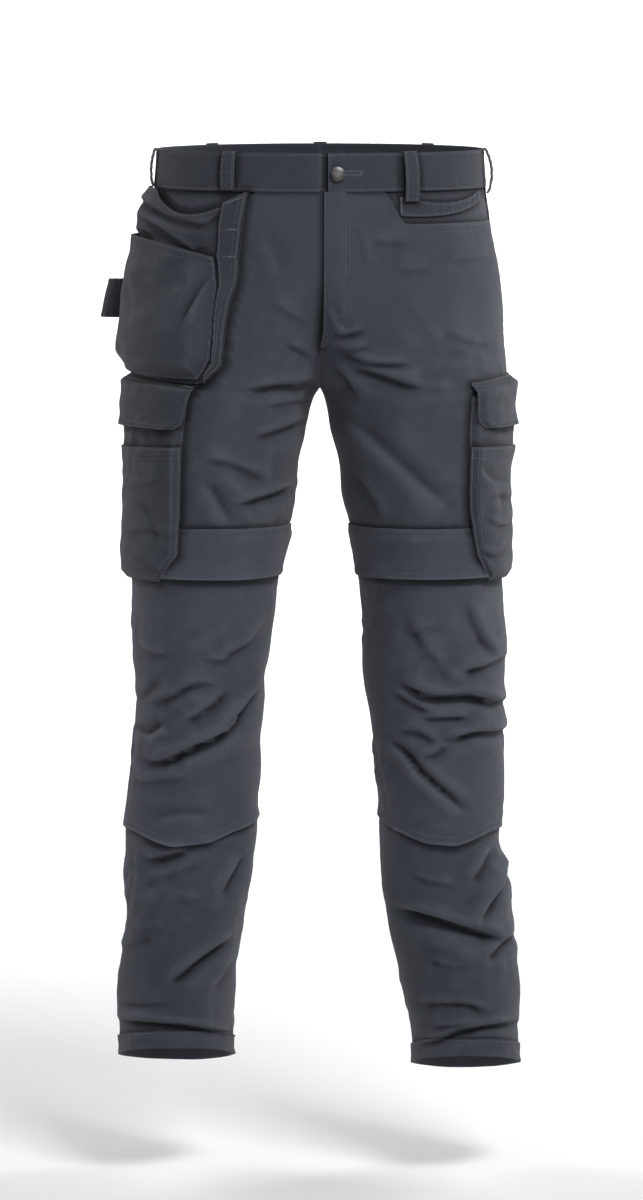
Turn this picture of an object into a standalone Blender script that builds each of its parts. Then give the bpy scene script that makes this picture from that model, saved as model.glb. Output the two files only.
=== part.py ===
"""Work trousers, worn shape with nobody in them, in metres with +Z up.

The origin is the centre of the waistband. The front faces -Y, so the wearer's right leg is at -X.
Every piece of cloth is a thin wall on one surface, which gives a point for a leg, an angle round it and a
height. The angle is 0 at the outer side seam, 90 at the front, 180 at the inseam and -90 at the back.
"""

import math

import bmesh
import bpy
import numpy as np

# Cloth
CLOTH = 0.0015
BAND_CLOTH = 0.0025
SEAM_GAP = 0.0003
LAYER_GAP = 0.0004
PATCH_GAP = 0.0010
STACK_GAP = 0.0006

# Waist and rise
BAND_HALF_HEIGHT = 0.0205
CROTCH_HEIGHT = -0.240
WAIST_TILT = 0.060
FLY_OFFSET = 0.0045
FLY_END = -0.192
BAND_LAP = 0.0088
POCKET_MOUTH_DROP = 0.036
POCKET_MOUTH_ANGLE = 64.0

# Legs
HEM_HEIGHT = -0.977
HEM_DEPTH = 0.020
HEM_TILT = -0.28
HEM_TILT_START = -0.860
LEG_DROP = {"right": 0.0, "left": 0.009}
KNEE_BAND_TOP = -0.388
KNEE_BAND_LAP = -0.414
KNEE_BAND_BOTTOM = -0.441
KNEE_PANEL_BOTTOM = -0.722

# Grid
PANEL_COLUMNS = 10
BAND_COLUMNS = 28
STEP = 0.002

# Rings of the seat, the same for both legs down to the crotch.
# Columns: height, distance of the side seam from the middle, distance of the inner side from the middle
# (less than zero where the two legs are one), depth before the side seam, depth behind it, its place in Y.
SEAT_RINGS = (
    (0.060, 0.1760, -0.1760, 0.113, 0.128, 0.000),
    (0.021, 0.1775, -0.1775, 0.115, 0.133, 0.000),
    (-0.021, 0.1805, -0.1805, 0.118, 0.138, 0.000),
    (-0.055, 0.1850, -0.1850, 0.121, 0.145, 0.000),
    (-0.090, 0.1905, -0.1890, 0.124, 0.151, 0.000),
    (-0.120, 0.1960, -0.1620, 0.125, 0.154, 0.000),
    (-0.145, 0.1990, -0.1080, 0.125, 0.154, 0.000),
    (-0.170, 0.2010, -0.0670, 0.125, 0.151, 0.000),
    (-0.205, 0.2030, -0.0310, 0.123, 0.144, -0.001),
    (-0.225, 0.2034, -0.0146, 0.121, 0.139, -0.002),
    (-0.240, 0.2030, 0.0000, 0.120, 0.135, -0.002),
)
RIGHT_RINGS = SEAT_RINGS + (
    (-0.253, 0.2045, 0.0080, 0.119, 0.132, -0.003),
    (-0.297, 0.2040, 0.0187, 0.116, 0.124, -0.005),
    (-0.341, 0.2040, 0.0253, 0.111, 0.116, -0.007),
    (-0.385, 0.2045, 0.0330, 0.104, 0.107, -0.009),
    (-0.430, 0.2050, 0.0429, 0.097, 0.099, -0.011),
    (-0.474, 0.2050, 0.0506, 0.090, 0.092, -0.012),
    (-0.516, 0.2030, 0.0561, 0.085, 0.088, -0.010),
    (-0.562, 0.2010, 0.0616, 0.081, 0.086, -0.006),
    (-0.606, 0.2035, 0.0660, 0.078, 0.086, 0.000),
    (-0.650, 0.2090, 0.0682, 0.076, 0.087, 0.006),
    (-0.694, 0.2120, 0.0693, 0.074, 0.087, 0.010),
    (-0.739, 0.2135, 0.0726, 0.073, 0.085, 0.013),
    (-0.783, 0.2160, 0.0770, 0.073, 0.083, 0.015),
    (-0.827, 0.2180, 0.0847, 0.072, 0.081, 0.017),
    (-0.871, 0.2205, 0.0902, 0.071, 0.079, 0.018),
    (-0.915, 0.2240, 0.0957, 0.070, 0.078, 0.019),
    (-0.960, 0.2230, 0.0968, 0.071, 0.079, 0.020),
    (-1.000, 0.2220, 0.0975, 0.072, 0.080, 0.020),
)
LEFT_RINGS = SEAT_RINGS + (
    (-0.253, 0.2008, 0.0055, 0.119, 0.132, -0.003),
    (-0.297, 0.1988, 0.0143, 0.116, 0.124, -0.005),
    (-0.341, 0.1978, 0.0220, 0.111, 0.116, -0.007),
    (-0.385, 0.1978, 0.0308, 0.104, 0.107, -0.009),
    (-0.430, 0.1985, 0.0416, 0.097, 0.099, -0.011),
    (-0.474, 0.1990, 0.0471, 0.090, 0.092, -0.012),
    (-0.518, 0.2030, 0.0495, 0.085, 0.088, -0.010),
    (-0.562, 0.2010, 0.0506, 0.081, 0.086, -0.006),
    (-0.606, 0.2010, 0.0561, 0.078, 0.086, 0.000),
    (-0.650, 0.2020, 0.0616, 0.076, 0.087, 0.006),
    (-0.694, 0.1990, 0.0660, 0.074, 0.087, 0.010),
    (-0.739, 0.1980, 0.0671, 0.073, 0.085, 0.013),
    (-0.783, 0.2085, 0.0682, 0.073, 0.083, 0.015),
    (-0.827, 0.2140, 0.0748, 0.072, 0.081, 0.017),
    (-0.871, 0.2185, 0.0858, 0.071, 0.079, 0.018),
    (-0.915, 0.2205, 0.0968, 0.070, 0.078, 0.019),
    (-0.960, 0.2200, 0.1045, 0.071, 0.079, 0.020),
    (-1.000, 0.2220, 0.1050, 0.072, 0.080, 0.020),
)
RINGS = {"right": np.array(RIGHT_RINGS), "left": np.array(LEFT_RINGS)}
SIGN = {"right": -1, "left": 1}

# The largest folds, each a soft trough along a line with a ridge below it.
# Columns: distance of its start from the middle plane and its height, the same of its end, face (1 front,
# -1 back), depth, half width.
FOLDS = {
    "right": (
        (0.014, -0.258, 0.110, -0.240, 1, 0.003, 0.015),
        (0.115, -0.318, 0.055, -0.338, 1, 0.003, 0.016),
        (0.090, -0.480, 0.060, -0.520, 1, 0.003, 0.016),
        (0.190, -0.636, 0.100, -0.608, 1, 0.007, 0.018),
        (0.125, -0.612, 0.072, -0.566, 1, 0.005, 0.016),
        (0.182, -0.590, 0.100, -0.556, 1, 0.004, 0.016),
        (0.185, -0.756, 0.120, -0.745, 1, 0.004, 0.016),
        (0.170, -0.808, 0.112, -0.804, 1, 0.003, 0.018),
        (0.110, -0.790, 0.092, -0.755, 1, 0.004, 0.014),
        (0.165, -0.890, 0.095, -0.838, 1, 0.006, 0.017),
        (0.120, -0.900, 0.092, -0.862, 1, 0.003, 0.014),
        (0.040, -0.262, 0.150, -0.285, -1, 0.006, 0.017),
        (0.060, -0.300, 0.170, -0.335, -1, 0.004, 0.017),
        (0.070, -0.455, 0.180, -0.440, -1, 0.005, 0.016),
        (0.075, -0.505, 0.190, -0.480, -1, 0.007, 0.018),
        (0.080, -0.560, 0.185, -0.535, -1, 0.005, 0.016),
        (0.100, -0.760, 0.195, -0.735, -1, 0.004, 0.017),
        (0.110, -0.855, 0.200, -0.880, -1, 0.006, 0.018),
        (0.115, -0.910, 0.195, -0.905, -1, 0.005, 0.015),
    ),
    "left": (
        (0.018, -0.214, 0.118, -0.236, 1, 0.003, 0.015),
        (0.025, -0.262, 0.150, -0.365, 1, 0.003, 0.018),
        (0.075, -0.475, 0.145, -0.560, 1, 0.004, 0.018),
        (0.105, -0.578, 0.195, -0.602, 1, 0.007, 0.018),
        (0.090, -0.592, 0.130, -0.606, 1, 0.004, 0.015),
        (0.145, -0.640, 0.195, -0.630, 1, 0.005, 0.015),
        (0.085, -0.640, 0.160, -0.720, 1, 0.005, 0.016),
        (0.160, -0.560, 0.195, -0.552, 1, 0.003, 0.015),
        (0.085, -0.808, 0.200, -0.842, 1, 0.008, 0.019),
        (0.180, -0.812, 0.203, -0.755, 1, 0.004, 0.015),
        (0.115, -0.912, 0.180, -0.920, 1, 0.004, 0.015),
        (0.040, -0.260, 0.150, -0.290, -1, 0.006, 0.017),
        (0.060, -0.305, 0.165, -0.330, -1, 0.004, 0.017),
        (0.070, -0.462, 0.180, -0.445, -1, 0.005, 0.016),
        (0.075, -0.500, 0.190, -0.482, -1, 0.007, 0.018),
        (0.080, -0.550, 0.185, -0.540, -1, 0.004, 0.016),
        (0.090, -0.745, 0.185, -0.728, -1, 0.005, 0.017),
        (0.115, -0.850, 0.205, -0.868, -1, 0.006, 0.018),
        (0.120, -0.915, 0.195, -0.900, -1, 0.004, 0.015),
    ),
}
FOLD_RADIUS = 0.095
FOLD_TAPER = 0.28

# Pouches and patches, each from its top row to its bottom row.
# Columns: height and angle of the front edge, height and angle of the back edge, drop of the middle.
HOLSTER_BACK = (
    (-0.0212, 65.0, -0.0212, -9.0, 0.017),
    (-0.0450, 64.0, -0.0450, -9.0, 0.013),
    (-0.0700, 63.5, -0.0620, -9.0, 0.006),
    (-0.0950, 63.5, -0.0800, -9.0, 0.000),
    (-0.1300, 68.5, -0.1150, -10.0, 0.000),
    (-0.1640, 75.0, -0.1500, -10.0, 0.000),
    (-0.1900, 79.5, -0.1800, -10.0, 0.000),
    (-0.2120, 83.0, -0.2050, -10.0, 0.000),
    (-0.2310, 77.0, -0.2170, -9.0, 0.003),
)
HOLSTER_FRONT = (
    (-0.0930, 54.0, -0.0720, -9.0, -0.005),
    (-0.1150, 58.0, -0.0950, -9.5, -0.002),
    (-0.1450, 65.0, -0.1250, -10.0, 0.000),
    (-0.1780, 71.5, -0.1600, -10.0, 0.000),
    (-0.2050, 75.5, -0.1900, -10.0, 0.000),
    (-0.2180, 74.0, -0.2060, -9.5, 0.002),
    (-0.2270, 72.5, -0.2140, -9.0, 0.003),
)
HOLSTER_STRIP = (
    (-0.0215, 64.5, -0.0330, 56.0, 0.000),
    (-0.0550, 63.0, -0.0550, 55.0, 0.000),
    (-0.0930, 63.0, -0.0930, 55.5, 0.000),
    (-0.1300, 68.0, -0.1300, 62.5, 0.000),
    (-0.1640, 74.5, -0.1640, 69.5, 0.000),
    (-0.1900, 79.0, -0.1900, 74.5, 0.000),
    (-0.2110, 82.0, -0.2090, 77.0, 0.000),
    (-0.2300, 76.0, -0.2240, 75.0, 0.000),
)
CARGO = {
    "right": (
        (-0.246, 68.0, -0.246, -38.0, 0.000),
        (-0.258, 68.0, -0.252, -38.0, 0.000),
        (-0.275, 68.0, -0.272, -38.0, 0.000),
        (-0.302, 68.0, -0.302, -38.0, 0.000),
        (-0.335, 68.0, -0.335, -38.0, 0.000),
        (-0.365, 68.0, -0.365, -38.0, 0.000),
        (-0.392, 69.0, -0.392, -38.0, 0.000),
        (-0.416, 70.0, -0.416, -38.0, 0.000),
        (-0.434, 62.0, -0.434, -38.0, 0.000),
        (-0.445, 57.0, -0.444, -36.0, 0.000),
    ),
    "left": (
        (-0.246, 54.0, -0.246, -50.0, 0.000),
        (-0.258, 54.0, -0.252, -50.0, 0.000),
        (-0.274, 54.0, -0.272, -50.0, 0.000),
        (-0.302, 55.0, -0.302, -50.0, 0.000),
        (-0.335, 56.0, -0.335, -50.0, 0.000),
        (-0.365, 57.0, -0.365, -50.0, 0.000),
        (-0.392, 57.0, -0.392, -50.0, 0.000),
        (-0.416, 55.0, -0.416, -50.0, 0.000),
        (-0.434, 49.0, -0.434, -50.0, 0.000),
        (-0.445, 44.0, -0.444, -48.0, 0.000),
    ),
}
CARGO_TOOL = {
    "right": ((-0.300, 68.0, -0.304, -38.0, 0.000),) + CARGO["right"][4:],
    "left": ((-0.300, 55.0, -0.304, -50.0, 0.000),) + CARGO["left"][4:],
}
FLAP = {
    "right": (
        (-0.231, 71.5, -0.221, -41.0, -0.003),
        (-0.240, 71.0, -0.230, -41.0, -0.003),
        (-0.258, 70.0, -0.252, -41.0, -0.001),
        (-0.275, 69.0, -0.272, -40.0, 0.000),
        (-0.281, 64.0, -0.276, -37.0, 0.000),
    ),
    "left": (
        (-0.232, 53.0, -0.222, -53.0, -0.003),
        (-0.241, 53.0, -0.231, -53.0, -0.003),
        (-0.258, 52.0, -0.252, -53.0, -0.001),
        (-0.274, 51.0, -0.272, -52.0, 0.000),
        (-0.280, 46.0, -0.276, -49.0, 0.000),
    ),
}
CARGO_RISE = 0.0088
CARGO_FLOOR = 0.0044
CARGO_BEVEL = 0.007
HOLSTER_HANG = 0.0050
HOLSTER_PUFF = 0.0110
HOLSTER_FLARE = 0.0080
HOLSTER_FLARE_HEIGHT = -0.046
HOLSTER_BEVEL = 0.018
POUCH_COLUMNS = 12

# Belt loops. Columns: leg, angle, how far the middle stands off the band, height of the lower end.
BELT_LOOPS = (
    ("right", 57.0, 0.0030, -0.0200),
    ("left", 57.5, 0.0055, -0.0320),
    ("right", 6.0, 0.0040, -0.0200),
    ("left", 6.0, 0.0070, -0.0280),
    ("right", -48.0, 0.0030, -0.0300),
    ("left", -48.0, 0.0030, -0.0300),
)
LOOP_WIDTH = 0.014
LOOP_TOP = 0.022
BACK_LOOP_STAND = 0.0030
BACK_LOOP_BOTTOM = -0.030

# Hammer loop: a band of webbing that stands off the side seam.
HAMMER_TOP = -0.124
HAMMER_BOTTOM = -0.165
HAMMER_REACH = 0.053
HAMMER_SPREAD = 0.35
HAMMER_ANGLES = (-15.0, -27.0)
HAMMER_CLOTH = 0.0020

# Button
BUTTON_X = 0.0187
BUTTON_RADIUS = 0.0078
BUTTON_HEIGHT = 0.0042

CLOTH_BASE = (0.052, 0.058, 0.070)
COLOURS = {
    "cloth": (CLOTH_BASE, 0.90, 0.0),
    "panel": ((0.048, 0.055, 0.067), 0.90, 0.0),
    "pocket": ((0.044, 0.050, 0.062), 0.90, 0.0),
    "band": ((0.046, 0.052, 0.063), 0.90, 0.0),
    "metal": ((0.090, 0.088, 0.085), 0.38, 1.0),
}


def clear_scene():
    for old in list(bpy.data.objects):
        bpy.data.objects.remove(old, do_unlink=True)


def material(name):
    found = bpy.data.materials.get(name)
    if found:
        return found
    colour, rough, metal = COLOURS[name]
    made = bpy.data.materials.new(name)
    made.use_nodes = True
    shader = made.node_tree.nodes["Principled BSDF"]
    shader.inputs["Base Color"].default_value = (*colour, 1.0)
    shader.inputs["Roughness"].default_value = rough
    shader.inputs["Metallic"].default_value = metal
    return made


def smooth(value):
    """0 to 1 with no corner at either end."""
    value = np.clip(value, 0.0, 1.0)
    return value * value * (3.0 - 2.0 * value)


def table_at(table, height):
    """The table's columns at these heights, through its rows without a corner or an overshoot."""
    rows = table[::-1]
    x, y = rows[:, 0], rows[:, 1:]
    width = np.diff(x)[:, None]
    slope = np.diff(y, axis=0) / width
    before, after = slope[:-1], slope[1:]
    same = before * after > 0
    total = np.where(same, before + after, 1.0)
    tangent = np.zeros_like(y)
    tangent[1:-1] = np.where(same, 2.0 * before * after / total, 0.0)
    height = np.clip(height, x[0], x[-1])
    index = np.clip(np.searchsorted(x, height) - 1, 0, len(x) - 2)
    span = width[index, 0]
    t = ((height - x[index]) / span)[..., None]
    span = span[..., None]
    low, high = y[index], y[index + 1]
    cubic = (1 + 2 * t) * (1 - t) ** 2 * low + t * t * (3 - 2 * t) * high
    bend = t * (1 - t) ** 2 * tangent[index] - t * t * (1 - t) * tangent[index + 1]
    return np.moveaxis(cubic + bend * span, -1, 0)


def tilt_at(height):
    """Rise in Z for each metre in Y: the waist slopes up to the back, and the hem down to it."""
    waist = WAIST_TILT * smooth((height - CROTCH_HEIGHT) / -CROTCH_HEIGHT)
    hem = HEM_TILT * smooth((HEM_TILT_START - height) / (HEM_TILT_START - HEM_HEIGHT))
    return waist + hem


def ring_point(half, angle, height):
    """A point on the smooth surface, with the leg's outer side at +X on both legs."""
    outer, inner, front, back, middle = table_at(RINGS[half], height)
    radius = (outer - inner) / 2
    turn = np.radians(angle)
    depth = np.where(np.asarray(angle) > 0, front, back)
    x = (outer + inner) / 2 + radius * np.cos(turn)
    y = middle - depth * np.sin(turn)
    drop = LEG_DROP[half] * smooth((KNEE_PANEL_BOTTOM - height) / (KNEE_PANEL_BOTTOM - HEM_HEIGHT))
    z = height + tilt_at(height) * y - drop
    return np.stack(np.broadcast_arrays(x, y, z), axis=-1)


def ring_normal(half, angle, height):
    turn = 0.5
    along = ring_point(half, angle + turn, height) - ring_point(half, angle - turn, height)
    rise = ring_point(half, angle, height + STEP) - ring_point(half, angle, height - STEP)
    normal = -np.cross(along, rise)
    return normal / np.linalg.norm(normal, axis=-1, keepdims=True)


def angle_of(half, distance, height, face=1):
    """The angle at which the surface is this far from the middle plane."""
    outer, inner = table_at(RINGS[half], height)[:2]
    cosine = (distance - (outer + inner) / 2) / ((outer - inner) / 2)
    return face * np.degrees(np.arccos(np.clip(cosine, -1.0, 1.0)))


def fold_depth(half, angle, height):
    """How far the folds move the surface, outwards."""
    total = np.zeros(np.broadcast(angle, height).shape)
    for x_start, z_start, x_end, z_end, face, depth, width in FOLDS[half]:
        start = angle_of(half, x_start, np.float64(z_start), face)
        end = angle_of(half, x_end, np.float64(z_end), face)
        reach = math.radians(end - start) * FOLD_RADIUS
        rise = z_end - z_start
        length = math.hypot(reach, rise)
        side = np.radians(angle - start) * FOLD_RADIUS
        up = height - z_start
        along = (side * reach + up * rise) / length**2
        across = (up * reach - side * rise) / length * math.copysign(1.0, reach)
        taper = smooth(along / FOLD_TAPER) * smooth((1 - along) / FOLD_TAPER)
        trough = np.exp(-((across / width) ** 2))
        ridge = np.exp(-(((across + 1.7 * width) / width) ** 2))
        total += depth * taper * (0.55 * ridge - trough)
    return total


def surface(half, angle, height, lift):
    """Points of the worn surface moved out by lift, in the part's own frame."""
    angle, height = np.broadcast_arrays(np.float64(angle), np.float64(height))
    moved = fold_depth(half, angle, height) + lift
    point = ring_point(half, angle, height) + ring_normal(half, angle, height) * moved[..., None]
    point[..., 0] *= SIGN[half]
    return point


def seam_angle(half, height, face):
    """The angle of a panel's inner edge: the middle seam above the crotch and the inseam below it."""
    outer, inner = table_at(RINGS[half], height)[:2]
    radius = (outer - inner) / 2
    offset = 0.0
    if face > 0:
        offset = FLY_OFFSET * smooth((height + 0.205) / 0.035) * SIGN[half]
    cosine = (SEAM_GAP / 2 + offset - (outer + inner) / 2) / radius
    half_gap = math.degrees(SEAM_GAP / 2 / FOLD_RADIUS)
    return np.minimum(np.degrees(np.arccos(np.clip(cosine, -1.0, 1.0))), 180.0 - half_gap)


def panel_heights():
    """Heights of the grid's rows, closer where the legs part and on every seam line."""
    seat = np.array((-0.0395, -0.060, -0.088, -0.117, -0.145, -0.170, -0.192, -0.210, -0.224, -0.234))
    crotch = CROTCH_HEIGHT - np.array((0.000, 0.005, 0.014, 0.028, 0.050, 0.078, 0.112))
    knee = np.linspace(KNEE_BAND_BOTTOM, KNEE_PANEL_BOTTOM, 13)
    shin = np.linspace(KNEE_PANEL_BOTTOM, HEM_HEIGHT + HEM_DEPTH, 10)[1:]
    top = -BAND_HALF_HEIGHT - SEAM_GAP
    lines = (top, *seat, *crotch, KNEE_BAND_TOP, KNEE_BAND_LAP, *knee, *shin, HEM_HEIGHT)
    return np.array(lines)


HEIGHTS = panel_heights()


def row_of(height):
    return int(np.argmin(np.abs(HEIGHTS - height)))


def panel_chart(half, face):
    """Angles and heights of a panel's grid, rows down and columns from the side seam to the middle."""
    share = np.linspace(0.0, 1.0, PANEL_COLUMNS + 1)[None, :]
    height = np.repeat(HEIGHTS[:, None], PANEL_COLUMNS + 1, axis=1)
    half_gap = math.degrees(SEAM_GAP / 2 / FOLD_RADIUS)
    angle = half_gap + share * (seam_angle(half, height, face) - half_gap)
    if face > 0:
        mouth_end = 4
        top = HEIGHTS[0] - POCKET_MOUTH_DROP * smooth((POCKET_MOUTH_ANGLE + 4.0 - angle[0]) / 8.0)
        span = HEIGHTS[mouth_end] - HEIGHTS[0]
        part = (HEIGHTS[:mouth_end] - HEIGHTS[0]) / span
        height[:mouth_end] = top + part[:, None] * (HEIGHTS[mouth_end] - top)
    return face * angle, height


def grid_faces(rows, columns, first, turned, closed):
    """Triangles over a grid of points whose numbering starts at first."""
    faces = []
    for i in range(rows - 1):
        for j in range(columns if closed else columns - 1):
            near, far = j, (j + 1) % columns
            a, b = first + i * columns + near, first + i * columns + far
            c, d = a + columns, b + columns
            pair = ((a, c, d), (a, d, b))
            faces += [face[::-1] for face in pair] if turned else list(pair)
    return faces


def wall(name, outside, inside, look, closed=False):
    """A closed solid between two grids of points."""
    rows, columns = outside.shape[:2]
    count = rows * columns
    faces = grid_faces(rows, columns, 0, False, closed)
    faces += grid_faces(rows, columns, count, True, closed)
    rim = [(0, j) for j in range(columns)]
    if closed:
        loops = (rim + [(0, 0)], [(rows - 1, j) for j in range(columns)] + [(rows - 1, 0)])
    else:
        rim += [(i, columns - 1) for i in range(1, rows)]
        rim += [(rows - 1, j) for j in range(columns - 2, -1, -1)]
        rim += [(i, 0) for i in range(rows - 2, -1, -1)]
        loops = (rim,)
    for loop in loops:
        for (i, j), (k, m) in zip(loop, loop[1:]):
            a, b = i * columns + j, k * columns + m
            faces += [(a, b, b + count), (a, b + count, a + count)]
    points = np.concatenate((outside.reshape(-1, 3), inside.reshape(-1, 3)))
    mesh = bpy.data.meshes.new(name)
    mesh.from_pydata([tuple(point) for point in points], [], faces)
    tidy = bmesh.new()
    tidy.from_mesh(mesh)
    bmesh.ops.recalc_face_normals(tidy, faces=tidy.faces)
    tidy.to_mesh(mesh)
    tidy.free()
    mesh.shade_smooth()
    mesh.set_sharp_from_angle(angle=math.radians(50))
    mesh.materials.append(material(look))
    made = bpy.data.objects.new(name, mesh)
    bpy.context.scene.collection.objects.link(made)
    return made


def cloth(name, half, angle, height, lift, look, thickness=CLOTH, closed=False):
    """A piece of cloth whose inner face lies lift above the surface."""
    inside = surface(half, angle, height, lift)
    outside = surface(half, angle, height, lift + thickness)
    return wall(name, outside, inside, look, closed)


def make_panels():
    for half in ("right", "left"):
        for face, word in ((1, "front"), (-1, "back")):
            angle, height = panel_chart(half, face)
            cloth(f"{word}_{half}", half, angle, height, -CLOTH, "cloth")


def make_knees():
    """The knee panel lies on the front, and the knee band laps over its top edge."""
    top, lap, bottom = (row_of(h) for h in (KNEE_BAND_TOP, KNEE_BAND_LAP, KNEE_BAND_BOTTOM))
    end = row_of(KNEE_PANEL_BOTTOM)
    for half in ("right", "left"):
        angle, height = panel_chart(half, 1)
        panel = slice(lap, end + 1)
        cloth(f"knee_panel_{half}", half, angle[panel], height[panel], LAYER_GAP, "panel")
        band = slice(top, bottom + 1)
        lift = np.full(height[band].shape, 2 * LAYER_GAP + CLOTH)
        lift[0] = LAYER_GAP
        cloth(f"knee_band_{half}", half, angle[band], height[band], lift, "panel")


def make_hems():
    fold = row_of(HEM_HEIGHT + HEM_DEPTH)
    for half in ("right", "left"):
        front_angle, front_height = panel_chart(half, 1)
        back_angle, back_height = panel_chart(half, -1)
        angle = np.concatenate((front_angle[fold:], back_angle[fold:, ::-1]), axis=1)
        height = np.concatenate((front_height[fold:], back_height[fold:, ::-1]), axis=1)
        cloth(f"hem_{half}", half, angle, height, LAYER_GAP, "cloth", closed=True)


def make_waistband():
    """Two halves that meet at the back. At the front the left one laps over the right one."""
    height = np.array((BAND_HALF_HEIGHT, 0.0, -BAND_HALF_HEIGHT))[:, None]
    ends = {"right": -BAND_LAP - 0.024, "left": BAND_LAP}
    for half in ("right", "left"):
        front = angle_of(half, ends[half], np.float64(0.0))
        back = seam_angle(half, np.float64(0.0), -1)
        lap = angle_of(half, -BAND_LAP + 0.002, np.float64(0.0))
        start = lap - 2.0 if half == "right" else front
        angle = np.linspace(-back, start, BAND_COLUMNS)
        if half == "right":
            angle = np.append(angle, (lap, front))
        lift = np.where(angle >= lap, -BAND_CLOTH - LAYER_GAP - CLOTH, -CLOTH)
        if half == "left":
            lift = np.full(angle.shape, -CLOTH)
        angle, height_grid = np.broadcast_arrays(angle[None, :], height)
        lift = np.broadcast_to(lift[None, :], angle.shape)
        cloth(f"waistband_{half}", half, angle, height_grid, lift, "band", BAND_CLOTH)


def make_fly():
    """The fly lies on the left front, from the middle seam to its curved row of sewing."""
    height = np.linspace(-BAND_HALF_HEIGHT - SEAM_GAP, FLY_END, 10)[:, None]
    seam = seam_angle("left", height, 1)
    curve = np.sqrt(np.clip(1 - ((-0.150 - height) / 0.048).clip(0.0, 1.0) ** 2, 0.0, 1.0))
    width = 0.006 + 0.0235 * curve
    share = np.linspace(0.0, 1.0, 5)[None, :]
    angle = angle_of("left", FLY_OFFSET * smooth((height + 0.205) / 0.035) + share * width, height)
    angle = np.minimum(angle, seam)
    height = np.broadcast_to(height, angle.shape)
    cloth("fly", "left", angle, height, PATCH_GAP, "cloth")


def sections(table, columns, rows_between=1):
    """A patch's grid of angles and heights from its table."""
    rows = np.array(table)
    place = np.linspace(0, len(rows) - 1, (len(rows) - 1) * rows_between + 1)
    fine = np.stack([np.interp(place, range(len(rows)), rows[:, k]) for k in range(5)], axis=1)
    share = columns[None, :]
    height = fine[:, 0:1] + share * (fine[:, 2:3] - fine[:, 0:1]) - fine[:, 4:5] * 4 * share * (1 - share)
    angle = fine[:, 1:2] + share * (fine[:, 3:4] - fine[:, 1:2])
    return angle, height


def edge_share(angle, height, bevel):
    """0 on a patch's two sides and its bottom, rising to 1 at the bevel's width inside them."""
    across = np.radians(np.abs(angle - angle[:, :1])) * FOLD_RADIUS
    back = np.radians(np.abs(angle - angle[:, -1:])) * FOLD_RADIUS
    below = height - height[-1:]
    return smooth(np.minimum(np.minimum(across, back), below) / bevel)


def bevelled_columns(bevel_share):
    inner = np.linspace(bevel_share, 1 - bevel_share, POUCH_COLUMNS - 1)
    return np.concatenate(((0.0,), inner, (1.0,)))


def make_cargo():
    """On each thigh: a pouch that stands off the leg, a tool pocket over its lower part and a flap."""
    columns = bevelled_columns(0.04)
    for half in ("right", "left"):
        angle, height = sections(CARGO[half], columns)
        floor = PATCH_GAP + (CARGO_FLOOR - PATCH_GAP) * smooth((-0.372 - height) / 0.014)
        rise = floor + (CARGO_RISE - floor) * edge_share(angle, height, CARGO_BEVEL)
        cloth(f"cargo_body_{half}", half, angle, height, rise, "pocket")
        angle, height = sections(CARGO_TOOL[half], columns)
        over = CLOTH + STACK_GAP
        floor = PATCH_GAP + (CARGO_FLOOR - PATCH_GAP) * smooth((-0.372 - height) / 0.014)
        rise = floor + (CARGO_RISE - floor) * edge_share(angle, height, CARGO_BEVEL)
        cloth(f"cargo_tool_{half}", half, angle, height, rise + over, "pocket")
        angle, height = sections(FLAP[half], columns)
        rise = np.full(angle.shape, CARGO_RISE + CLOTH + 2 * STACK_GAP)
        rise[0] = PATCH_GAP
        cloth(f"cargo_flap_{half}", half, angle, height, rise, "pocket")


def make_holster():
    """A hanging pocket on the right hip: a back layer, a full front layer and a strip down its edge."""
    columns = np.linspace(0.0, 1.0, POUCH_COLUMNS + 1)

    def hang(angle, height):
        flare = np.exp(-(((height - HOLSTER_FLARE_HEIGHT) / 0.022) ** 2)) * smooth((30 - angle) / 30)
        return PATCH_GAP + HOLSTER_HANG * smooth((-0.050 - height) / 0.150) + HOLSTER_FLARE * flare

    angle, height = sections(HOLSTER_BACK, columns)
    cloth("holster_back", "right", angle, height, hang(angle, height), "pocket")
    angle, height = sections(HOLSTER_FRONT, columns)
    puff = HOLSTER_PUFF * edge_share(angle, height, HOLSTER_BEVEL)
    rise = hang(angle, height) + CLOTH + PATCH_GAP + puff
    cloth("holster_front", "right", angle, height, rise, "pocket")
    angle, height = sections(HOLSTER_STRIP, np.linspace(0.0, 1.0, 3))
    cloth("holster_strip", "right", angle, height, hang(angle, height) + CLOTH + LAYER_GAP, "pocket")


def make_facings():
    """The pocket facings lie behind the front panels and show above the pocket mouths."""
    count = int(PANEL_COLUMNS * 0.8) + 1
    rows = np.array((HEIGHTS[0], -0.040, -0.058, -0.076))[:, None]
    depth = -CLOTH - LAYER_GAP - CLOTH
    for half in ("right", "left"):
        angle = panel_chart(half, 1)[0][:1, :count]
        angle, height = np.broadcast_arrays(angle, rows)
        cloth(f"pocket_facing_{half}", half, angle, height, depth, "cloth")
    angle = panel_chart("left", 1)[0][:1, 2:8]
    share = np.linspace(0.0, 1.0, angle.shape[1])[None, :]
    scoop = 4 * share * (1 - share)
    top = -0.0225 - 0.003 * share - 0.010 * scoop
    bottom = -0.034 - 0.013 * share - 0.006 * scoop
    height = np.concatenate((top, (top + bottom) / 2, bottom))
    angle = np.broadcast_to(angle, height.shape)
    cloth("tucked_pocket_left", "left", angle, height, depth + CLOTH + LAYER_GAP, "cloth")


def loop_profile(stand, bottom):
    """Heights and lifts down a belt loop, which touches the band at both ends and stands off between."""
    share = np.linspace(0.0, 1.0, 7)
    height = LOOP_TOP + share * (bottom - LOOP_TOP)
    base = BAND_CLOTH - CLOTH + SEAM_GAP
    return height[:, None], (base + stand * np.sin(math.pi * share) ** 0.7)[:, None]


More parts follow.
